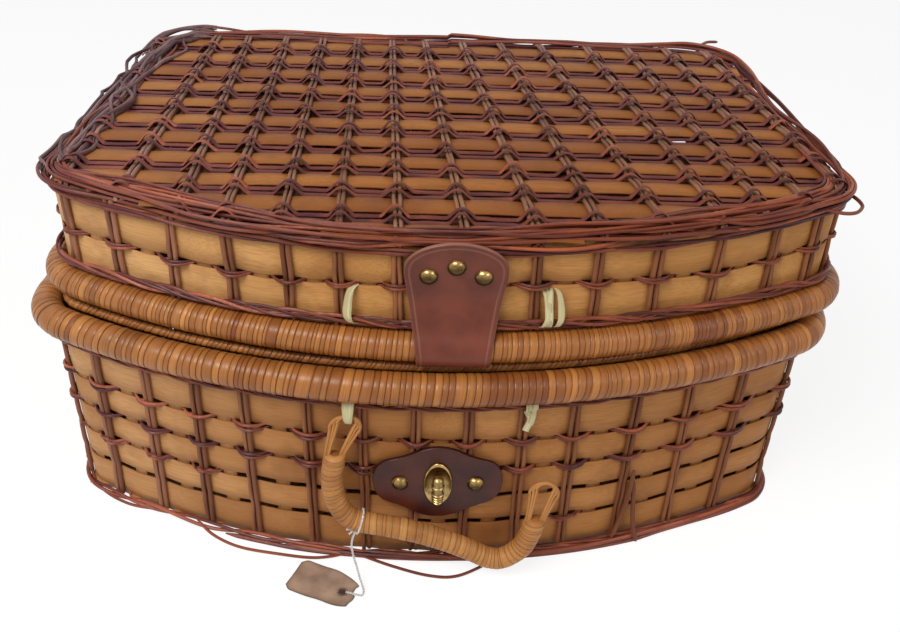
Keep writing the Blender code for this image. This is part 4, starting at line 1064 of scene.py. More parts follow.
def build_brass():
    low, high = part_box("lock_plate")
    plate = middle("lock_plate")
    half = ((high.x - low.x) / 2, (high.z - low.z) / 2)
    seat = (plate.x, high.y, plate.z)
    axes = (RIGHT, UP, FRONT)
    add_turned(PLATE_PROFILE, half, seat, axes, 64, "lock_oval", BRASS, "bottom", ["lock_plate"])

    def add_dome(part, side, seat, axes, body):
        size = (DOME_RADIUS, DOME_RADIUS)
        name, node = f"{part}_dome_{side}", f"{part}_stud_{side}"
        add_turned(DOME_PROFILE, size, seat, axes, 48, name, DOME_BRASS, body, [node])

    for side in ("left", "right"):
        centre = middle("lock_stud_" + side)
        seat = (centre.x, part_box("lock_stud_" + side)[1].y, centre.z)
        add_dome("lock", side, seat, axes, "bottom")
    lean = math.atan2(STRAP_ROUTE[3][0] - STRAP_ROUTE[1][0], STRAP_ROUTE[1][1] - STRAP_ROUTE[3][1])
    out = (0.0, -math.cos(lean), -math.sin(lean))
    over = (0.0, -math.sin(lean), math.cos(lean))
    for side in ("left", "middle", "right"):
        centre = middle("strap_stud_" + side)
        seat = (centre.x, centre.y - out[1] * DOME_HALF_RISE, centre.z - out[2] * DOME_HALF_RISE)
        add_dome("strap", side, seat, (RIGHT, over, out), "lid")
    low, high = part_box("lock_button")
    seat = (plate.x, low.y + BUTTON_DEPTH, plate.z + BUTTON_LIFT)
    size = (1.0, 1.0)
    axes = (RIGHT, BACK, UP)
    add_turned(BARREL_PROFILE, size, seat, axes, 48, "turn_button", BRASS, "button", ["lock_button"])
    stem = ((STEM_RADII[0], 0.0), (STEM_RADII[1], 0.0030), (STEM_RADII[1], high.y - seat[1]))
    add_turned(stem, size, seat, (RIGHT, UP, BACK), 24, "turn_stem", BRASS, "button", [])


# Raffia ties


def lay_ribbon(strands, outline, distance, points, width, shade, sway=0.0, twist=0.0, taper=(1.0, 1.0)):
    """A flat raffia strip on a wall: points give inset and height, and optionally a shift along the wall."""
    table = smooth_route([(*point, 0.0)[:3] for point in points], 5)
    count = len(table)
    shift = table[:, 2] + sway * np.sin(np.linspace(0.0, math.pi, count))
    route, up, out = outline.route(distance + shift, table[:, 0], table[:, 1])
    ahead = unit(np.gradient(route, axis=0))
    side = unit(np.cross(ahead, np.cross(np.cross(up, out), ahead)))
    turn = (twist * np.linspace(-1.0, 1.0, count))[:, None]
    across = np.cos(turn) * side + np.sin(turn) * np.cross(ahead, side)
    scale = np.interp(np.linspace(0.0, 1.0, count), np.linspace(0.0, 1.0, len(taper)), taper)
    profile = flat_profile(width, RAFFIA_THICKNESS)
    strands.add(route, across, np.cross(ahead, across), profile, shade, scale=scale)


def build_ties():
    whole = Strands()
    lay_ribbon(whole, BOTTOM, HANDLE_TOP.x, HANDLE_TIE, 0.0062, 0.7, taper=(1.25, 1.1, 0.8, 0.35, 0.3, 0.4))
    whole.build("left_tie", RAFFIA, "bottom", "raffia", ["handle_tie_left"])
    torn = Strands()
    for distance, width, points in TORN_TIE:
        lay_ribbon(torn, BOTTOM, distance, points, width, random.uniform(0.5, 0.9), twist=0.25)
    torn.build("torn_tie", RAFFIA, "bottom", "raffia", ["handle_tie_right"])
    for side, bands in LID_TIE_BANDS.items():
        strips = Strands()
        for distance, width, sway in bands:
            points = [(inset + random.uniform(-0.0002, 0.0002), height) for inset, height in LID_TIE]
            shade = random.uniform(0.35, 0.95)
            lay_ribbon(strips, LID, distance, points, width, shade, sway, 0.25, (0.5, 0.9, 1.1, 0.9, 0.45))
        strips.build(side + "_lid_tie", RAFFIA, "lid", "raffia", ["lid_tie_" + side])


# String and tag


def twist_plies(strands, route, radius, pitch, shade):
    """Two plies twisted about each other along a route."""
    side, out = frames_along(route, (0.3, 0.9, 0.3))
    for ply in (0.0, math.pi):
        turn = (2 * math.pi * measure(route) / pitch + ply)[:, None]
        centre = route + radius / 2 * (np.cos(turn) * side + np.sin(turn) * out)
        strands.add(centre, side, out, round_profile(radius / 2, 6), shade)


def build_string():
    route = smooth_route(STRING_POINTS, 16)
    length = float(measure(route)[-1])
    strands = Strands()
    twist_plies(strands, route, STRING_DIAMETER / 2, PLY_PITCH, 0.7)
    string = strands.build("string", STRING, "handle", "string", ["tag_string"])
    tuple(STRING_POINTS[0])


def build_string_loop():
    """The string's turn round the grip, its knot and two short ends."""
    strands = Strands()
    start = np.array(STRING_POINTS[0])
    route = grip_route()
    side, out = frames_along(route)
    place = np.linalg.norm(route - start, axis=1).argmin()
    turn = np.linspace(0.0, 2 * math.pi, 40)[:, None]
    ring = route[place] + (GRIP_RADIUS + 0.0009) * (np.cos(turn) * side[place] + np.sin(turn) * out[place])
    twist_plies(strands, ring, STRING_DIAMETER / 2, PLY_PITCH, 0.75)
    knot = start + (-0.0012, -0.0012, 0.0012)
    angles = np.linspace(0.0, 4 * math.pi, 50)
    turns = knot + stack(0.0012 * np.cos(angles), 0.0008 * np.cos(angles / 2), 0.0013 * np.sin(angles))
    twist_plies(strands, turns, STRING_DIAMETER / 2, PLY_PITCH, 0.85)
    for way in ((-0.0046, -0.0006, 0.0006), (-0.0030, -0.0012, -0.0028)):
        points = [knot, knot + 0.5 * np.array(way) + (0.0, -0.0004, 0.0004), knot + np.array(way)]
        twist_plies(strands, smooth_route(points, 8), STRING_DIAMETER / 2.4, 0.0040, 0.9)
    strands.build("string_loop", STRING, "handle", "string")


def build_tag():
    """A blank buff card with two cut corners, ragged at its other end, where the hole is."""
    across, along = 17, 31
    half_width, half_length = TAG_SIZE[0] / 2, TAG_SIZE[1] / 2
    share = np.linspace(-1.0, 1.0, across)
    ragged = 0.0009 * wander(across, 1.0, 7, closed=False) + 0.0010 * share**2
    torn = np.linspace(0.0, 1.0, along)[:, None]
    y = -half_length + torn * 2 * half_length - ragged * torn**3
    cut = ramp((half_length + y) / 0.0040)
    x = (half_width - 0.0030 * (1 - cut) ** 1.5 - 0.0040 * torn**6) * share
    flat = stack(x, y)
    turn = math.radians(TAG_TURN)
    ahead = np.array((math.cos(turn), math.sin(turn)))
    plan = np.array(TAG_PLACE) + y[..., None] * ahead + x[..., None] * np.array((-ahead[1], ahead[0]))
    reach = np.hypot(x, y - half_length + TAG_HOLE_DEPTH)
    fold = 0.0012 * bell(y - 0.004, 0.007) + 0.0007 * (x / half_width) ** 2
    height = 0.0009 + fold * (1 - 0.7 * (reach < 0.0042))
    middles = (reach[1:, 1:] + reach[:-1, 1:] + reach[1:, :-1] + reach[:-1, :-1]) / 4
    faces = closed_faces(flat, lambda row, column: middles[row, column] < TAG_HOLE_RADIUS)
    sides = (height + 0.0003, height - 0.0003)
    layers = [stack(plan[..., 0], plan[..., 1], side).reshape(-1, 3) for side in sides]
    edge = np.maximum(np.abs(share)[None, :] ** 12, np.abs(2 * torn - 1) ** 24)
    # The card darkens at its edges; the ring round the hole is painted shade, so that the hole reads dark
    wear = np.maximum(0.6 * edge, ramp((0.0036 - reach) / 0.0012)).reshape(-1)
    piece = ("tag_card", CARD, "handle", "card", ["tag"])
    add_mesh(np.concatenate(layers), faces, np.tile(wear, 2), 50, *piece)


# Woven walls


def weave_phase(outline, stakes, per_pitch):
    """Distances round a wall, shared evenly between its stakes, and the phase, whole at the stakes."""
    marks = np.append(stakes, stakes[0] + outline.length)
    phase = np.arange(len(stakes) * per_pitch) / per_pitch
    return np.interp(phase, np.arange(len(marks)), marks), phase


def weave_splints(outline, stakes, edges, gap, seen, bends, shade):
    """Flat splints round the wall behind the stakes. The gaps between them are open where they are seen."""
    strands = Strands()
    distance, phase = weave_phase(outline, stakes, 8)
    count = len(distance)
    half_gap = (gap + (CLOSED_GAP - gap) * ramp((np.abs(from_front(distance, outline)) - seen) / 0.02)) / 2
    bend = bent(distance, outline, bends)
    inset = SPLINT_INSET + SPLINT_SWAY * np.cos(2 * math.pi * phase)
    for row, (low, high) in enumerate(zip(edges, edges[1:])):
        bottom = low + half_gap + bend if row else np.full(count, low)
        top = high - half_gap + bend if row < len(edges) - 2 else np.full(count, high)
        height = (bottom + top) / 2 + wander(count, 0.0002, 40)
        tone = shade + wander(count, 0.22, 24) + random.uniform(-0.12, 0.12)
        size = high - low - gap
        profile = flat_profile(size, SPLINT_THICKNESS)
        strands.add_round(outline, distance, inset, height, profile, tone, scale=(top - bottom) / size)
    return strands


def weave_inner_splints(outline, stakes, low, high):
    """Upright flat splints inside the wall, midway between the stakes."""
    strands = Strands()
    marks = np.append(stakes, stakes[0] + outline.length)
    height = np.linspace(low, high, 9)
    profile = flat_profile(INNER_SPLINT_WIDTH, SPLINT_THICKNESS)
    for mark in (marks[1:] + marks[:-1]) / 2:
        place = np.full(len(height), mark)
        strands.add_upright(outline, place, INNER_SPLINT_INSET, height, profile, random.uniform(0.35, 0.9))
    return strands


def weave_stakes(outline, stakes, low, high, gaps):
    """Pairs of round stakes outside the splints, drawn in a little where the reeds cross them."""
    strands = Strands()
    height = np.linspace(low, high, max(12, int((high - low) / STAKE_STEP)))
    for mark in stakes:
        lean = random.normal(0.0, 0.0007)
        for side_of_pair in (-1, 1):
            foot = random.uniform(-0.002, 0.0015)
            levels = height + foot * (high - height) / (high - low)
            drawn = sum(bell(levels - gap, 0.004) for gap in gaps)
            inset = STAKE_INSET + 0.0006 * drawn + drift(height, 0.0002, 6)
            spread = side_of_pair * (STAKE_SPREAD - 0.0002 * drawn)
            share = (levels - low) / (high - low) - 0.5
            place = mark + spread + lean * share * 2 + drift(height, 0.0003, 6)
            profile = round_profile(STAKE_RADIUS * random.uniform(0.86, 1.08))
            strands.add_upright(outline, place, inset, levels, profile, random.uniform(0.1, 0.9))
    return strands


def weave_reeds(strands, outline, stakes, gap, radius, span=None, bends=STRAIGHT):
    """Two thin reeds in a gap between splints, over the stakes and behind the upright splints."""
    distance, phase = weave_phase(outline, stakes, 14)
    closed = span is None
    if not closed:
        keep = (distance >= span[0]) & (distance <= span[1])
        distance, phase = distance[keep], phase[keep]
    count, knots = len(distance), len(stakes) * 2
    hump = np.cos(2 * math.pi * phase)
    sway = REED_SWAY * np.sign(hump) * np.abs(hump) ** 0.8
    for level in (-1, 1):
        inset = REED_INSET - sway + wander(count, 0.0003, knots, closed)
        height = gap + level * radius * 0.9 + wander(count, 0.0006, knots, closed)
        height = height + bent(distance, outline, bends)
        tone = ramp(random.uniform(0.15, 0.6) + wander(count, 0.25, knots, closed))
        profile = round_profile(radius * random.uniform(0.9, 1.15), REED_SIDES)
        strands.add_round(outline, distance, inset, height, profile, tone, closed)


def ring_reeds(strands, outline, count, inset, height, orbit, radius, turns, shades, lift=0.0):
    """Reeds that run round the outline as a loose bundle, crossing each other at low angles."""
    distance = outline.stations()
    for index in range(count):
        share = index / count + turns * distance / outline.length
        turn = 2 * math.pi * share + wander(RING_STATIONS, 0.5, 30)
        place = inset + orbit[0] * np.cos(turn) + wander(RING_STATIONS, 0.0003, 60)
        level = height + orbit[1] * np.sin(turn) + wander(RING_STATIONS, 0.0003, 60) + lift
        tone = ramp(shades[index % len(shades)] + wander(RING_STATIONS, 0.2, 30))
        profile = round_profile(radius * random.uniform(0.85, 1.1), REED_SIDES)
        strands.add_round(outline, distance, place, level, profile, tone)


def stray(strands, outline, count, inset, height, spread, radius, shades, distance, closed, wave=0.055):
    """Reeds that wander along a border, each on its own way through the bundle."""
    stations = len(distance)
    knots = max(5, int((distance[-1] - distance[0]) / wave))
    taper = 1.0 if closed else np.clip(0.35 + from_ends(distance) / 0.012, 0.35, 1.0)
    for index in range(count):
        share = (index + 0.5) / count * 2 - 1
        sidestep = spread[0] * (0.75 * share + wander(stations, 0.45, knots, closed))
        place = np.maximum(inset + sidestep, OUTERMOST)
        swell = math.sqrt(max(0.0, 1 - share * share))
        lift = swell * (1 if index % 2 else -1) * 0.8 + wander(stations, 0.35, knots, closed)
        level = np.maximum(height + spread[1] * lift, radius)
        tone = ramp(shades[index % len(shades)] + wander(stations, 0.22, knots, closed))
        profile = round_profile(radius * random.uniform(0.8, 1.15), REED_SIDES)
        strands.add_round(outline, distance, place, level, profile, tone, closed, taper)


def build_wall(half, outline, stakes, feet, top, gaps, gap, seen, bends, shade, material):
    """Splints, upright splints and stakes of one wall, each layer from its own foot up."""
    splints = weave_splints(outline, stakes, (feet[0], *gaps, top), gap, seen, bends, shade)
    splints.build(half + "_splints", material, half, "splint", [half + "_wall"])
    upright = weave_inner_splints(outline, stakes, feet[1], top)
    upright.build(half + "_inner_splints", material, half, "splint")
    pairs = weave_stakes(outline, stakes, feet[2], top, gaps)
    pairs.build(half + "_stakes", STAKE_REED, half, "reed")


def build_bottom_weave():
    stakes = all_stakes(BOTTOM_STAKES, BOTTOM)
    gaps = (BOTTOM_GAPS, GAP_HEIGHT, BOTTOM_SEEN, STRAIGHT)
    build_wall("bottom", BOTTOM, stakes, BOTTOM_WALL_FEET, BOTTOM_WALL_TOP, *gaps, 0.55, WALL_SPLINT)
    reeds = Strands()
    hidden = (BOTTOM_SEEN, BOTTOM.length - BOTTOM_SEEN)
    low, second, third, high = BOTTOM_GAPS
    for gap, size, span in (
        (third, 1.0, None),
        (high, 1.0, None),
        (second, 1.0, (-0.24, -0.125)),
        (low, 0.8, (0.068, 0.104)),
        (low, 1.0, hidden),
        (second, 1.0, hidden),
    ):
        weave_reeds(reeds, BOTTOM, stakes, gap, REED_RADIUS * size, span)
    reeds.build("bottom_reeds", RED_REED, "bottom", "reed")
    waling = Strands()
    shades = (0.3, 0.55, 0.15, 0.4)
    orbit = (0.0008, 0.0020)
    ring_reeds(waling, BOTTOM, WALING_REEDS, WALING_INSET, WALING_Z, orbit, WALING_RADIUS, 21, shades)
    waling.build("bottom_waling_reeds", RED_REED, "bottom", "reed", ["bottom_waling"])
    border = Strands()
    shades = (0.3, 0.6, 0.1, 0.45, 0.2)
    ring_reeds(border, BOTTOM, 2, 0.0020, 0.0034, (0.0012, 0.0016), 0.0012, 17, shades)
    for index, first in enumerate(BASE_REED_STARTS):
        distance = np.linspace(first, BOTTOM.length - BOTTOM_SEEN, 420)
        inset = bent(distance, BOTTOM, BASE_BEND) * (1 - index / 7) + (index - 2) * 0.0006
        height = 0.0026 + 0.0008 * (index % 4)
        spread = (0.0014, 0.0010)
        tones = shades[index % 5 :]
        stray(border, BOTTOM, 1, inset, height, spread, BASE_REED_RADIUS, tones, distance, False)
    border.build("base_border_reeds", RED_REED, "bottom", "reed", ["base_border"])


def over_loops(distance):
    """How far the lid's waling arches up over the hinge loops, so that it clears them when the lid opens."""
    places = [LID.length / 2 - middle("hinge_loop_" + name).x for name in ("left", "middle", "right")]
    reach = gaps_between(distance, places).min(axis=1)
    return 0.0052 * ramp((0.020 - reach) / 0.010)


def build_lid_wall():
    stakes = all_stakes(LID_STAKES, LID)
    gaps = ((LID_GAP,), LID_GAP_HEIGHT, LID_SEEN, LID_GAP_BEND)
    build_wall("lid", LID, stakes, LID_WALL_FEET, LID_WALL_TOP, *gaps, 0.75, LID_SPLINT)
    reeds = Strands()
    weave_reeds(reeds, LID, stakes, LID_GAP, LID_REED_RADIUS, bends=LID_GAP_BEND)
    reeds.build("lid_reeds", RED_REED, "lid", "reed")
    waling = Strands()
    shades = (0.2, 0.6, 0.35, 0.1)
    orbit = (0.0006, 0.0024)
    lift = over_loops(LID.stations())
    ring_reeds(waling, LID, WALING_REEDS, WALING_INSET, LID_WALING_Z, orbit, WALING_RADIUS, 19, shades, lift)
    waling.build("lid_waling_reeds", RED_REED, "lid", "reed", ["lid_waling"])


def lay_reed(strands, points, radius, shade):
    """One loose reed through a few points."""
    route = smooth_route(points, 8)
    side, out = frames_along(route, UP)
    count = len(route)
    taper = np.minimum(1.0, 0.55 + 6 * np.minimum(np.linspace(0, 1, count), np.linspace(1, 0, count)))
    strands.add(route, side, out, round_profile(radius, REED_SIDES), shade, scale=taper)


def build_loose_reeds():
    """Reeds that have come away from the base and the lid's edge, and split stake ends."""
    splayed = [(BOTTOM.route(*np.array(ends).T)[0], 0.2) for ends in SPLAYED_ENDS]
    for reeds, radius, name, material, body in (
        (LOOSE_BASE_REEDS, 0.0010, "loose_base_reeds", RED_REED, "bottom"),
        (splayed, STAKE_RADIUS, "splayed_stake_ends", STAKE_REED, "bottom"),
        (LOOSE_LID_REEDS, 0.0011, "loose_lid_reeds", RED_REED, "lid"),
    ):
        strands = Strands()
        for points, shade in reeds:
            lay_reed(strands, points, radius, shade)
        strands.build(name, material, body, "reed")


# Lid top


def stake_x(y):
    """Where the lid top's stake pairs cross a row."""
    share = (y - FRONT_LINE_Y) / (BACK_LINE_Y - FRONT_LINE_Y)
    return np.array([front + (back - front) * share for front, back in zip(FRONT_LINE, BACK_LINE)])


def stake_lines(inset):
    """Each stake pair's line over the lid: a point on it, its direction, and where it meets the border."""
    for front, back in zip(FRONT_LINE, BACK_LINE):
        start = np.array((front, FRONT_LINE_Y))
        along = unit(np.array((back, BACK_LINE_Y)) - start)
        yield start, along, *LID.chord(start, along, inset)


def across_lid(y, inset, step):
    low, high = LID.chord((0.0, y), (1.0, 0.0), inset)
    return np.linspace(low, high, max(8, int((high - low) / step)))


def build_slats(bands):
    """Flat slats across the lid, each as wide as the bands of weavers beside it leave room for."""
    slats = Strands()
    edge = (BAND_WIDTH + 2 * SLAT_GAP) / 2
    lows = [SLAT_ROWS[0] - SLAT_END, *(band + edge for band in bands)]
    highs = [*(band - edge for band in bands), SLAT_ROWS[-1] + SLAT_END]
    for near, far in zip(lows, highs):
        y = (near + far) / 2
        x = across_lid(y, 0.007, 0.004)
        gap = gaps_between(x, stake_x(y)).min(axis=1)
        height = LID_TOP - 0.0006 * bell(gap, 0.006) + drift(x, 0.0002, 12)
        route = np.column_stack([x, y + drift(x, 0.0003, 7), height])
        tone = random.uniform(0.3, 0.9) + drift(x, 0.2, 9)
        slats.add(route, BACK, UP, flat_profile(far - near, SLAT_THICKNESS), tone)
    slats.build("lid_slats", TOP_SPLINT, "lid", "splint", ["lid_panel"])


def build_shade_strips():
    """Dark flat strips inside the lid, under each pair of stakes: painted shade that keeps the holes beside
    the stakes dark.
    """
    strips = Strands()
    profile = flat_profile(*UNDER_STRIP)
    for start, along, low, high in stake_lines(0.008):
        line = start + np.linspace(low, high, 40)[:, None] * along
        route = stack(*line.T, LID_TOP - UNDER_STRIP_DROP)
        strips.add(route, (along[1], -along[0], 0.0), UP, profile, random.uniform(0.0, 0.3))
    strips.build("lid_under_strips", STAKE_REED, "lid", "reed")


def build_weavers(bands):
    """Two flat reeds to a band, which arch over every pair of stakes."""
    weavers = Strands()
    profile = round_profile(WEAVER_WIDTH / 2, flatten=WEAVER_THICKNESS / WEAVER_WIDTH)
    for band in bands:
        for side_of_band in (-1, 1):
            line = band + side_of_band * WEAVER_SPREAD
            x = across_lid(line, 0.004, 0.0013)
            stakes = stake_x(line)
            count = len(stakes)
            nearest = gaps_between(x, stakes).argmin(axis=1)
            reach = np.abs(x - stakes[nearest] - random.normal(0.0, 0.0007, count)[nearest])
            half = HUMP_HALF_WIDTH * random.uniform(0.88, 1.12, count)[nearest]
            bump = ease(ramp((half - reach) / (half - 0.0012))) * 0.8 + 0.2 * ramp(1 - reach / half)
            lift = HUMP_HEIGHT * random.uniform(0.82, 1.18, count)[nearest]
            height = LID_TOP - 0.0006 + lift * bump + drift(x, 0.00015, 30)
            back = (0.0004 + 0.0012 * side_of_band) * bump + drift(x, 0.0003, 30)
            route = np.column_stack([x, line + back, height])
            out = unit(stack(-np.gradient(height, x), 0.15, 1.0))
            side = unit(np.cross(out, unit(np.gradient(route, axis=0))))
            shades = random.choice((0.12, 0.3, 0.45, 0.6, 1.0), count, p=(0.3, 0.3, 0.2, 0.1, 0.1))
            tone = 0.25 + drift(x, 0.15, 30)
            tone = ramp(tone + (shades[nearest] - tone) * (bump > 0.02))
            weavers.add(route, side, out, profile, tone, scale=1 - 0.30 * bump)
    weavers.build("lid_weavers", WEAVER_REED, "lid", "reed")


def build_top_stakes(bands):
    """Pairs of round stakes over the slats and under the weavers' arches."""
    stakes = Strands()
    for start, along, low, high in stake_lines(0.004):
        place = np.linspace(low, high, int((high - low) / STAKE_STEP))
        line = start + place[:, None] * along
        beside = np.array((along[1], -along[0]))
        nearest = gaps_between(line[:, 1], bands).min(axis=1)
        tuck = 0.0034 * ramp(1 - from_ends(place) / 0.014) ** 2
        height = LID_TOP + 0.0017 - 0.0012 * bell(nearest, 0.006) - tuck
        for side_of_pair in (-1, 1):
            offset = side_of_pair * TOP_STAKE_SPREAD + drift(line, 0.0003, 14)
            route = np.column_stack([line + offset[:, None] * beside, height])
            radius = TOP_STAKE_RADIUS * random.uniform(0.88, 1.12)
            tone = random.uniform(0.45, 1.0) + drift(line, 0.15, 12)
            stakes.add(route, (*beside, 0.0), UP, round_profile(radius), tone)
    stakes.build("lid_top_stakes", TOP_REED, "lid", "reed")


def build_lid_top():
    bands = [(a + b) / 2 for a, b in zip(SLAT_ROWS, SLAT_ROWS[1:])]
    build_slats(bands)
    build_shade_strips()
    build_weavers(bands)
    build_top_stakes(bands)


LID_BORDER_FANS = (  # distances, stations, inset, lift, spread, first shade
    (0.085, 0.300, 130, 0.0125, 0.0032, 0.0046, 3),
    (LID.length - 0.300, LID.length - 0.120, 110, 0.0120, 0.0030, 0.0042, 1),
)


def build_lid_border():
    border = Strands()
    shades = (0.25, 0.6, 0.1, 0.4, 0.95, 0.2, 0.5, 0.15)
    distance = LID.stations()
    inset = bent(distance, LID, LID_BORDER_INSET)
    stray(border, LID, 17, inset, BORDER_Z + 0.0002, (0.0076, 0.0038), 0.00095, shades, distance, True)
    for first, last, stations, inset, lift, spread, shade in LID_BORDER_FANS:
        distance = np.linspace(first, last, stations)
        tones = shades[shade:]
        stray(border, LID, 6, inset, BORDER_Z + lift, (spread, 0.0012), 0.0010, tones, distance, False)
    ring_reeds(border, LID, 2, 0.0026, BORDER_Z - 0.0062, (0.0004, 0.0014), 0.0011, 9, (0.15, 0.3))
    border.build("lid_border_reeds", RED_REED, "lid", "reed", ["lid_border"])
    plait = Strands()
    distance = np.linspace(LID.length - 0.492, LID.length - 0.245, 205)
    shades = (0.2, 0.7, 0.4, 0.05, 0.9, 0.5, 0.3)
    height = BORDER_Z + 0.0014
    spread = (0.0098, 0.0040)
    stray(plait, LID, 22, 0.0106, height, spread, 0.0013, shades, distance, False, 0.026)
    plait.build("lid_plait", OLIVE_REED, "lid", "reed")


# Wrapped rims


def wrap_roll(strands, place_at, length, radius, width, groove, slant, sides, closed, shade_at):
    """A roll wrapped with strips of cane: each a little tilted, with its own shade, and painted shade in the
    grooves.
    """
    count = int(length / width)
    widths = random.lognormal(0.0, WRAP_UNEVEN, count)
    edges = np.concatenate([[0.0], np.cumsum(widths / widths.sum() * length)])
    widths = np.diff(edges)
    distance = (edges[:-1, None] + widths[:, None] * WRAP_SHARES).reshape(-1)
    swell = random.normal(0.0, 0.12, count)[:, None] * groove
    fall = (groove * WRAP_FALL[None, :] + swell).reshape(-1)
    # Painted shade: each wrap darkens towards its grooves, by how deep each point lies
    gap = np.tile(ramp(WRAP_FALL * 1.1), count)
    tone = np.repeat(shade_at(edges[:-1]) + random.normal(0.0, 0.19, count), len(WRAP_SHARES))
    if not closed:
        distance = np.append(distance, length)
        fall, gap, tone = (np.append(values, values[-1]) for values in (fall, gap, tone))
    tilt = slant * (1 + 0.35 * wander(len(distance), 1.0, max(4, count // 5), closed))
    angles = circle(sides) - math.pi / 2
    shifted = distance[:, None] + tilt[:, None] * np.cos(angles)[None, :]
    reach = radius - fall
    if not closed:
        shifted = np.clip(shifted, 0.0, length)
        ends = ramp(from_ends(distance) / (0.6 * radius))
        reach = reach * np.sqrt(1 - 0.85 * (1 - ends) ** 2)
    centre, side, out = place_at(shifted)
    across, proud = np.cos(angles)[None, :, None], np.sin(angles)[None, :, None]
    rings = centre + reach[:, None, None] * (across * side + proud * out)
    fibre = stack(angles[None, :] * radius, distance[:, None], ramp(tone)[:, None])
    flipped = np.dot(np.cross(side[0, 0], out[0, 0]), centre[1, 0] - centre[0, 0]) < 0
    strands.grid(rings, fibre, np.broadcast_to(gap[:, None], shifted.shape), closed, flipped)


# Name and node, outline and body, inset, height, radius, wrap width, groove, slant, sides, shade,
# and darker or paler stretches, each from one distance to another
RIMS = (
    (
        "bottom_rim_wrap", "bottom_rim", BOTTOM, "bottom", 0.0, RIM_Z, RIM_RADIUS,
        0.0042, 0.00055, 0.0013, 22, 0.55,
        ((0.024, 0.060, -0.45), (-0.115, -0.09, -0.12), (0.15, 0.17, -0.2), (-0.30, -0.24, 0.1)),
    ),
    (
        "bottom_inner_rim_wrap", "bottom_inner_rim", BOTTOM, "bottom",
        INNER_RIM_INSET, INNER_RIM_Z, INNER_RIM_RADIUS,
        0.0032, 0.0004, 0.0016, 10, 0.6,
        ((-0.06, -0.05, -0.4),),
    ),
    (
        "lid_rim_wrap", "lid_rim", LID, "lid", 0.0, LID_RIM_Z, LID_RIM_RADIUS,
        0.0033, 0.0005, 0.0010, 20, 0.5,
        ((0.135, 0.158, -0.35), (-0.0625, -0.0590, 0.6), (0.235, 0.26, -0.1)),
    ),
)


def build_rims():
    for name, node, outline, body, inset, height, radius, *wrap, base, stretches in RIMS:

        def shade(distance):
            place = from_front(distance, outline)
            return base + sum(
                change * ((place > first) & (place < last)) for first, last, change in stretches
            )

        def place_at(distance):
            return outline.route(distance, inset, height)

        strands = Strands()
        wrap_roll(strands, place_at, outline.length, radius, *wrap, True, shade)
        strands.build(name, CANE, body, "cane", [node])


# Hinge loops


def build_hinge_loops():
    """Three cane bindings at the back, each of flat strips side by side round the rims."""
    rims = (
        (np.array((BACK_Y, RIM_Z)), RIM_RADIUS),
        (np.array((BACK_Y - INNER_RIM_INSET, INNER_RIM_Z)), INNER_RIM_RADIUS),
        (np.array((BACK_Y, LID_RIM_Z)), LID_RIM_RADIUS),
    )
    angles = circle(60)
    away = np.column_stack([np.cos(angles), np.sin(angles)])
    corners = []
    for direction in away:
        centre, radius = max(rims, key=lambda rim: rim[0] @ direction + rim[1])
        corners.append(centre + direction * (radius + LOOP_CLEARANCE))
    corners = np.array(corners)
    profile = flat_profile(*LOOP_STRIP)
    for node in ("hinge_loop_left", "hinge_loop_middle", "hinge_loop_right"):
        strands = Strands()
        for strip in LOOP_STRIPS:
            route = stack(middle(node).x + strip * LOOP_STRIP_PITCH, *corners.T)
            strands.add(route, RIGHT, stack(0.0, *away.T), profile, random.uniform(0.3, 0.8), closed=True)
        strands.build(node + "_binding", CANE, "bottom", "cane", [node])


# Floor


def build_floor():
    """Slats across the floor, over and under wider ones from front to back."""
    slats = Strands()
    profile = flat_profile(FLOOR_SLAT_WIDTH, FLOOR_THICKNESS)
    for y in np.arange(FRONT_Y + 0.022, BACK_Y - 0.012, FLOOR_SLAT_PITCH):
        narrower = 0.0117 if y < FRONT_Y + 0.05 else 0.0
        x = np.linspace(*BOTTOM.chord((0.0, y - narrower), (1.0, 0.0), FLOOR_INSET), 60)
        turn = 0 if round(y / FLOOR_SLAT_PITCH) % 2 else math.pi
        height = 0.0030 + 0.0009 * np.cos(math.pi * x / FLOOR_CROSS_PITCH + turn)
        slats.add(stack(x, y, height), BACK, UP, profile, random.uniform(0.3, 0.8))
    profile = flat_profile(FLOOR_CROSS_PITCH, FLOOR_THICKNESS)
    for x in np.arange(-0.21, 0.2101, FLOOR_CROSS_PITCH):
        y = np.linspace(*BOTTOM.chord((x, 0.0), (0.0, 1.0), FLOOR_INSET), 50)
        slats.add(stack(x, y, 0.0026), RIGHT, UP, profile, random.uniform(0.2, 0.6))
    slats.build("floor_weave", WALL_SPLINT, "bottom", "splint", ["floor_panel"])


# Handle


def on_handle(x, z):
    return np.array((x, HANDLE_TOP.y - HANDLE_LEAN * (HANDLE_TOP.z - z), z))


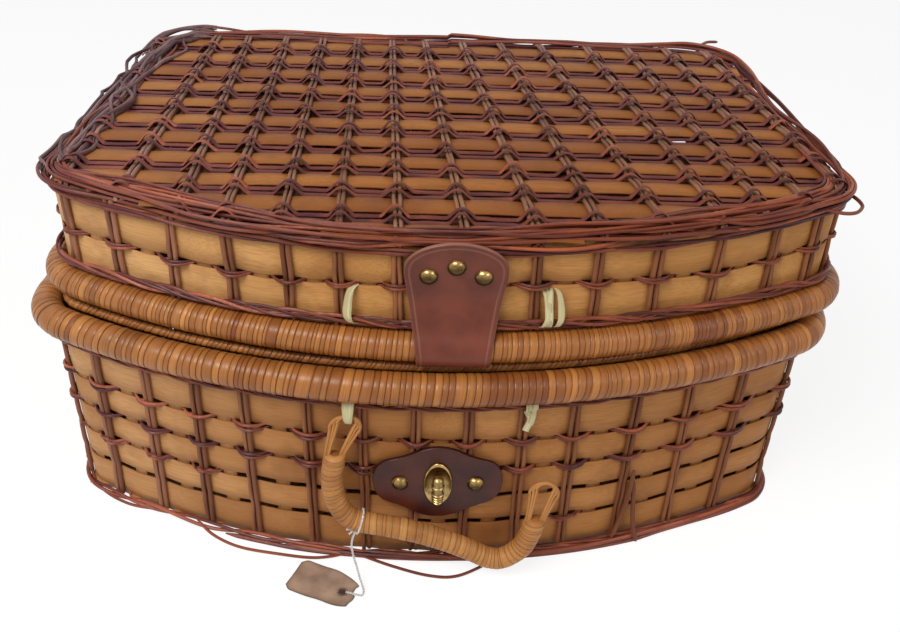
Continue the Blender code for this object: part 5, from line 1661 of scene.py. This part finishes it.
def grip_route():
    spots = [
        (HANDLE_LEFT + across * HANDLE_SPAN, HANDLE_LOW + up * HANDLE_DROP) for across, up in GRIP_SHARES
    ]
    return smooth_route([on_handle(*spot) for spot in spots], 8)


def build_handle():
    route = grip_route()
    marks = measure(route)
    parts = (route, *frames_along(route))
    grip = Strands()
    wrap_roll(
        grip,
        lambda distance: [read_at(distance, marks, values) for values in parts],
        marks[-1],
        GRIP_RADIUS,
        width=0.0033,
        groove=0.0004,
        slant=0.0006,
        sides=18,
        closed=False,
        shade_at=lambda distance: 0.68,
    )
    grip.build("grip_wrap", GRIP_CANE, "handle", "cane", ["handle_grip"])
    build_handle_loop("left", route[0], route[1], np.array(HANDLE_TOP))
    build_handle_loop("right", route[-1], route[-2], on_handle(route[-1][0] + 0.005, route[-1][2] + 0.0256))


def build_handle_loop(name, end, inner, top):
    """Strands of split cane bent round, one inside the other, into a loop."""
    up = unit(end - inner)
    side = unit(np.cross(up, BACK))
    rise = np.linalg.norm(top - end)
    lean = (top - end) / rise
    strands = Strands()
    for half_width, shade in LOOP_CANES:
        foot = half_width * 0.62
        points = [end - side * foot - up * 0.004, end - side * (foot + 0.0002) + up * 0.002]
        centre = end + lean * (rise - half_width + 0.0012)
        for step in range(-1, 10):
            angle = math.pi - math.pi * step / 8
            reach = half_width * (1.0 if 0 <= step <= 8 else 0.97)
            points.append(centre + reach * (side * math.cos(angle) + lean * math.sin(angle)))
        points += [end + side * (foot + 0.0002) + up * 0.002, end + side * foot - up * 0.004]
        route = smooth_route(points, 6)
        across, out = frames_along(route)
        route = route + out * random.uniform(-0.0003, 0.0003)
        strands.add(route, across, out, round_profile(LOOP_CANE_RADIUS, flatten=1.25), shade)
    strands.build("loop_" + name, GRIP_CANE, "handle", "cane", ["handle_loop_" + name])


for build in (
    set_camera,
    set_stage,
    build_string,
    build_string_loop,
    build_bottom_weave,
    build_lid_wall,
    build_lid_top,
    build_lid_border,
    build_rims,
    build_hinge_loops,
    build_floor,
    build_handle,
    build_strap,
    build_patch,
    build_brass,
    build_ties,
    build_loose_reeds,
    build_tag,
):
    build()
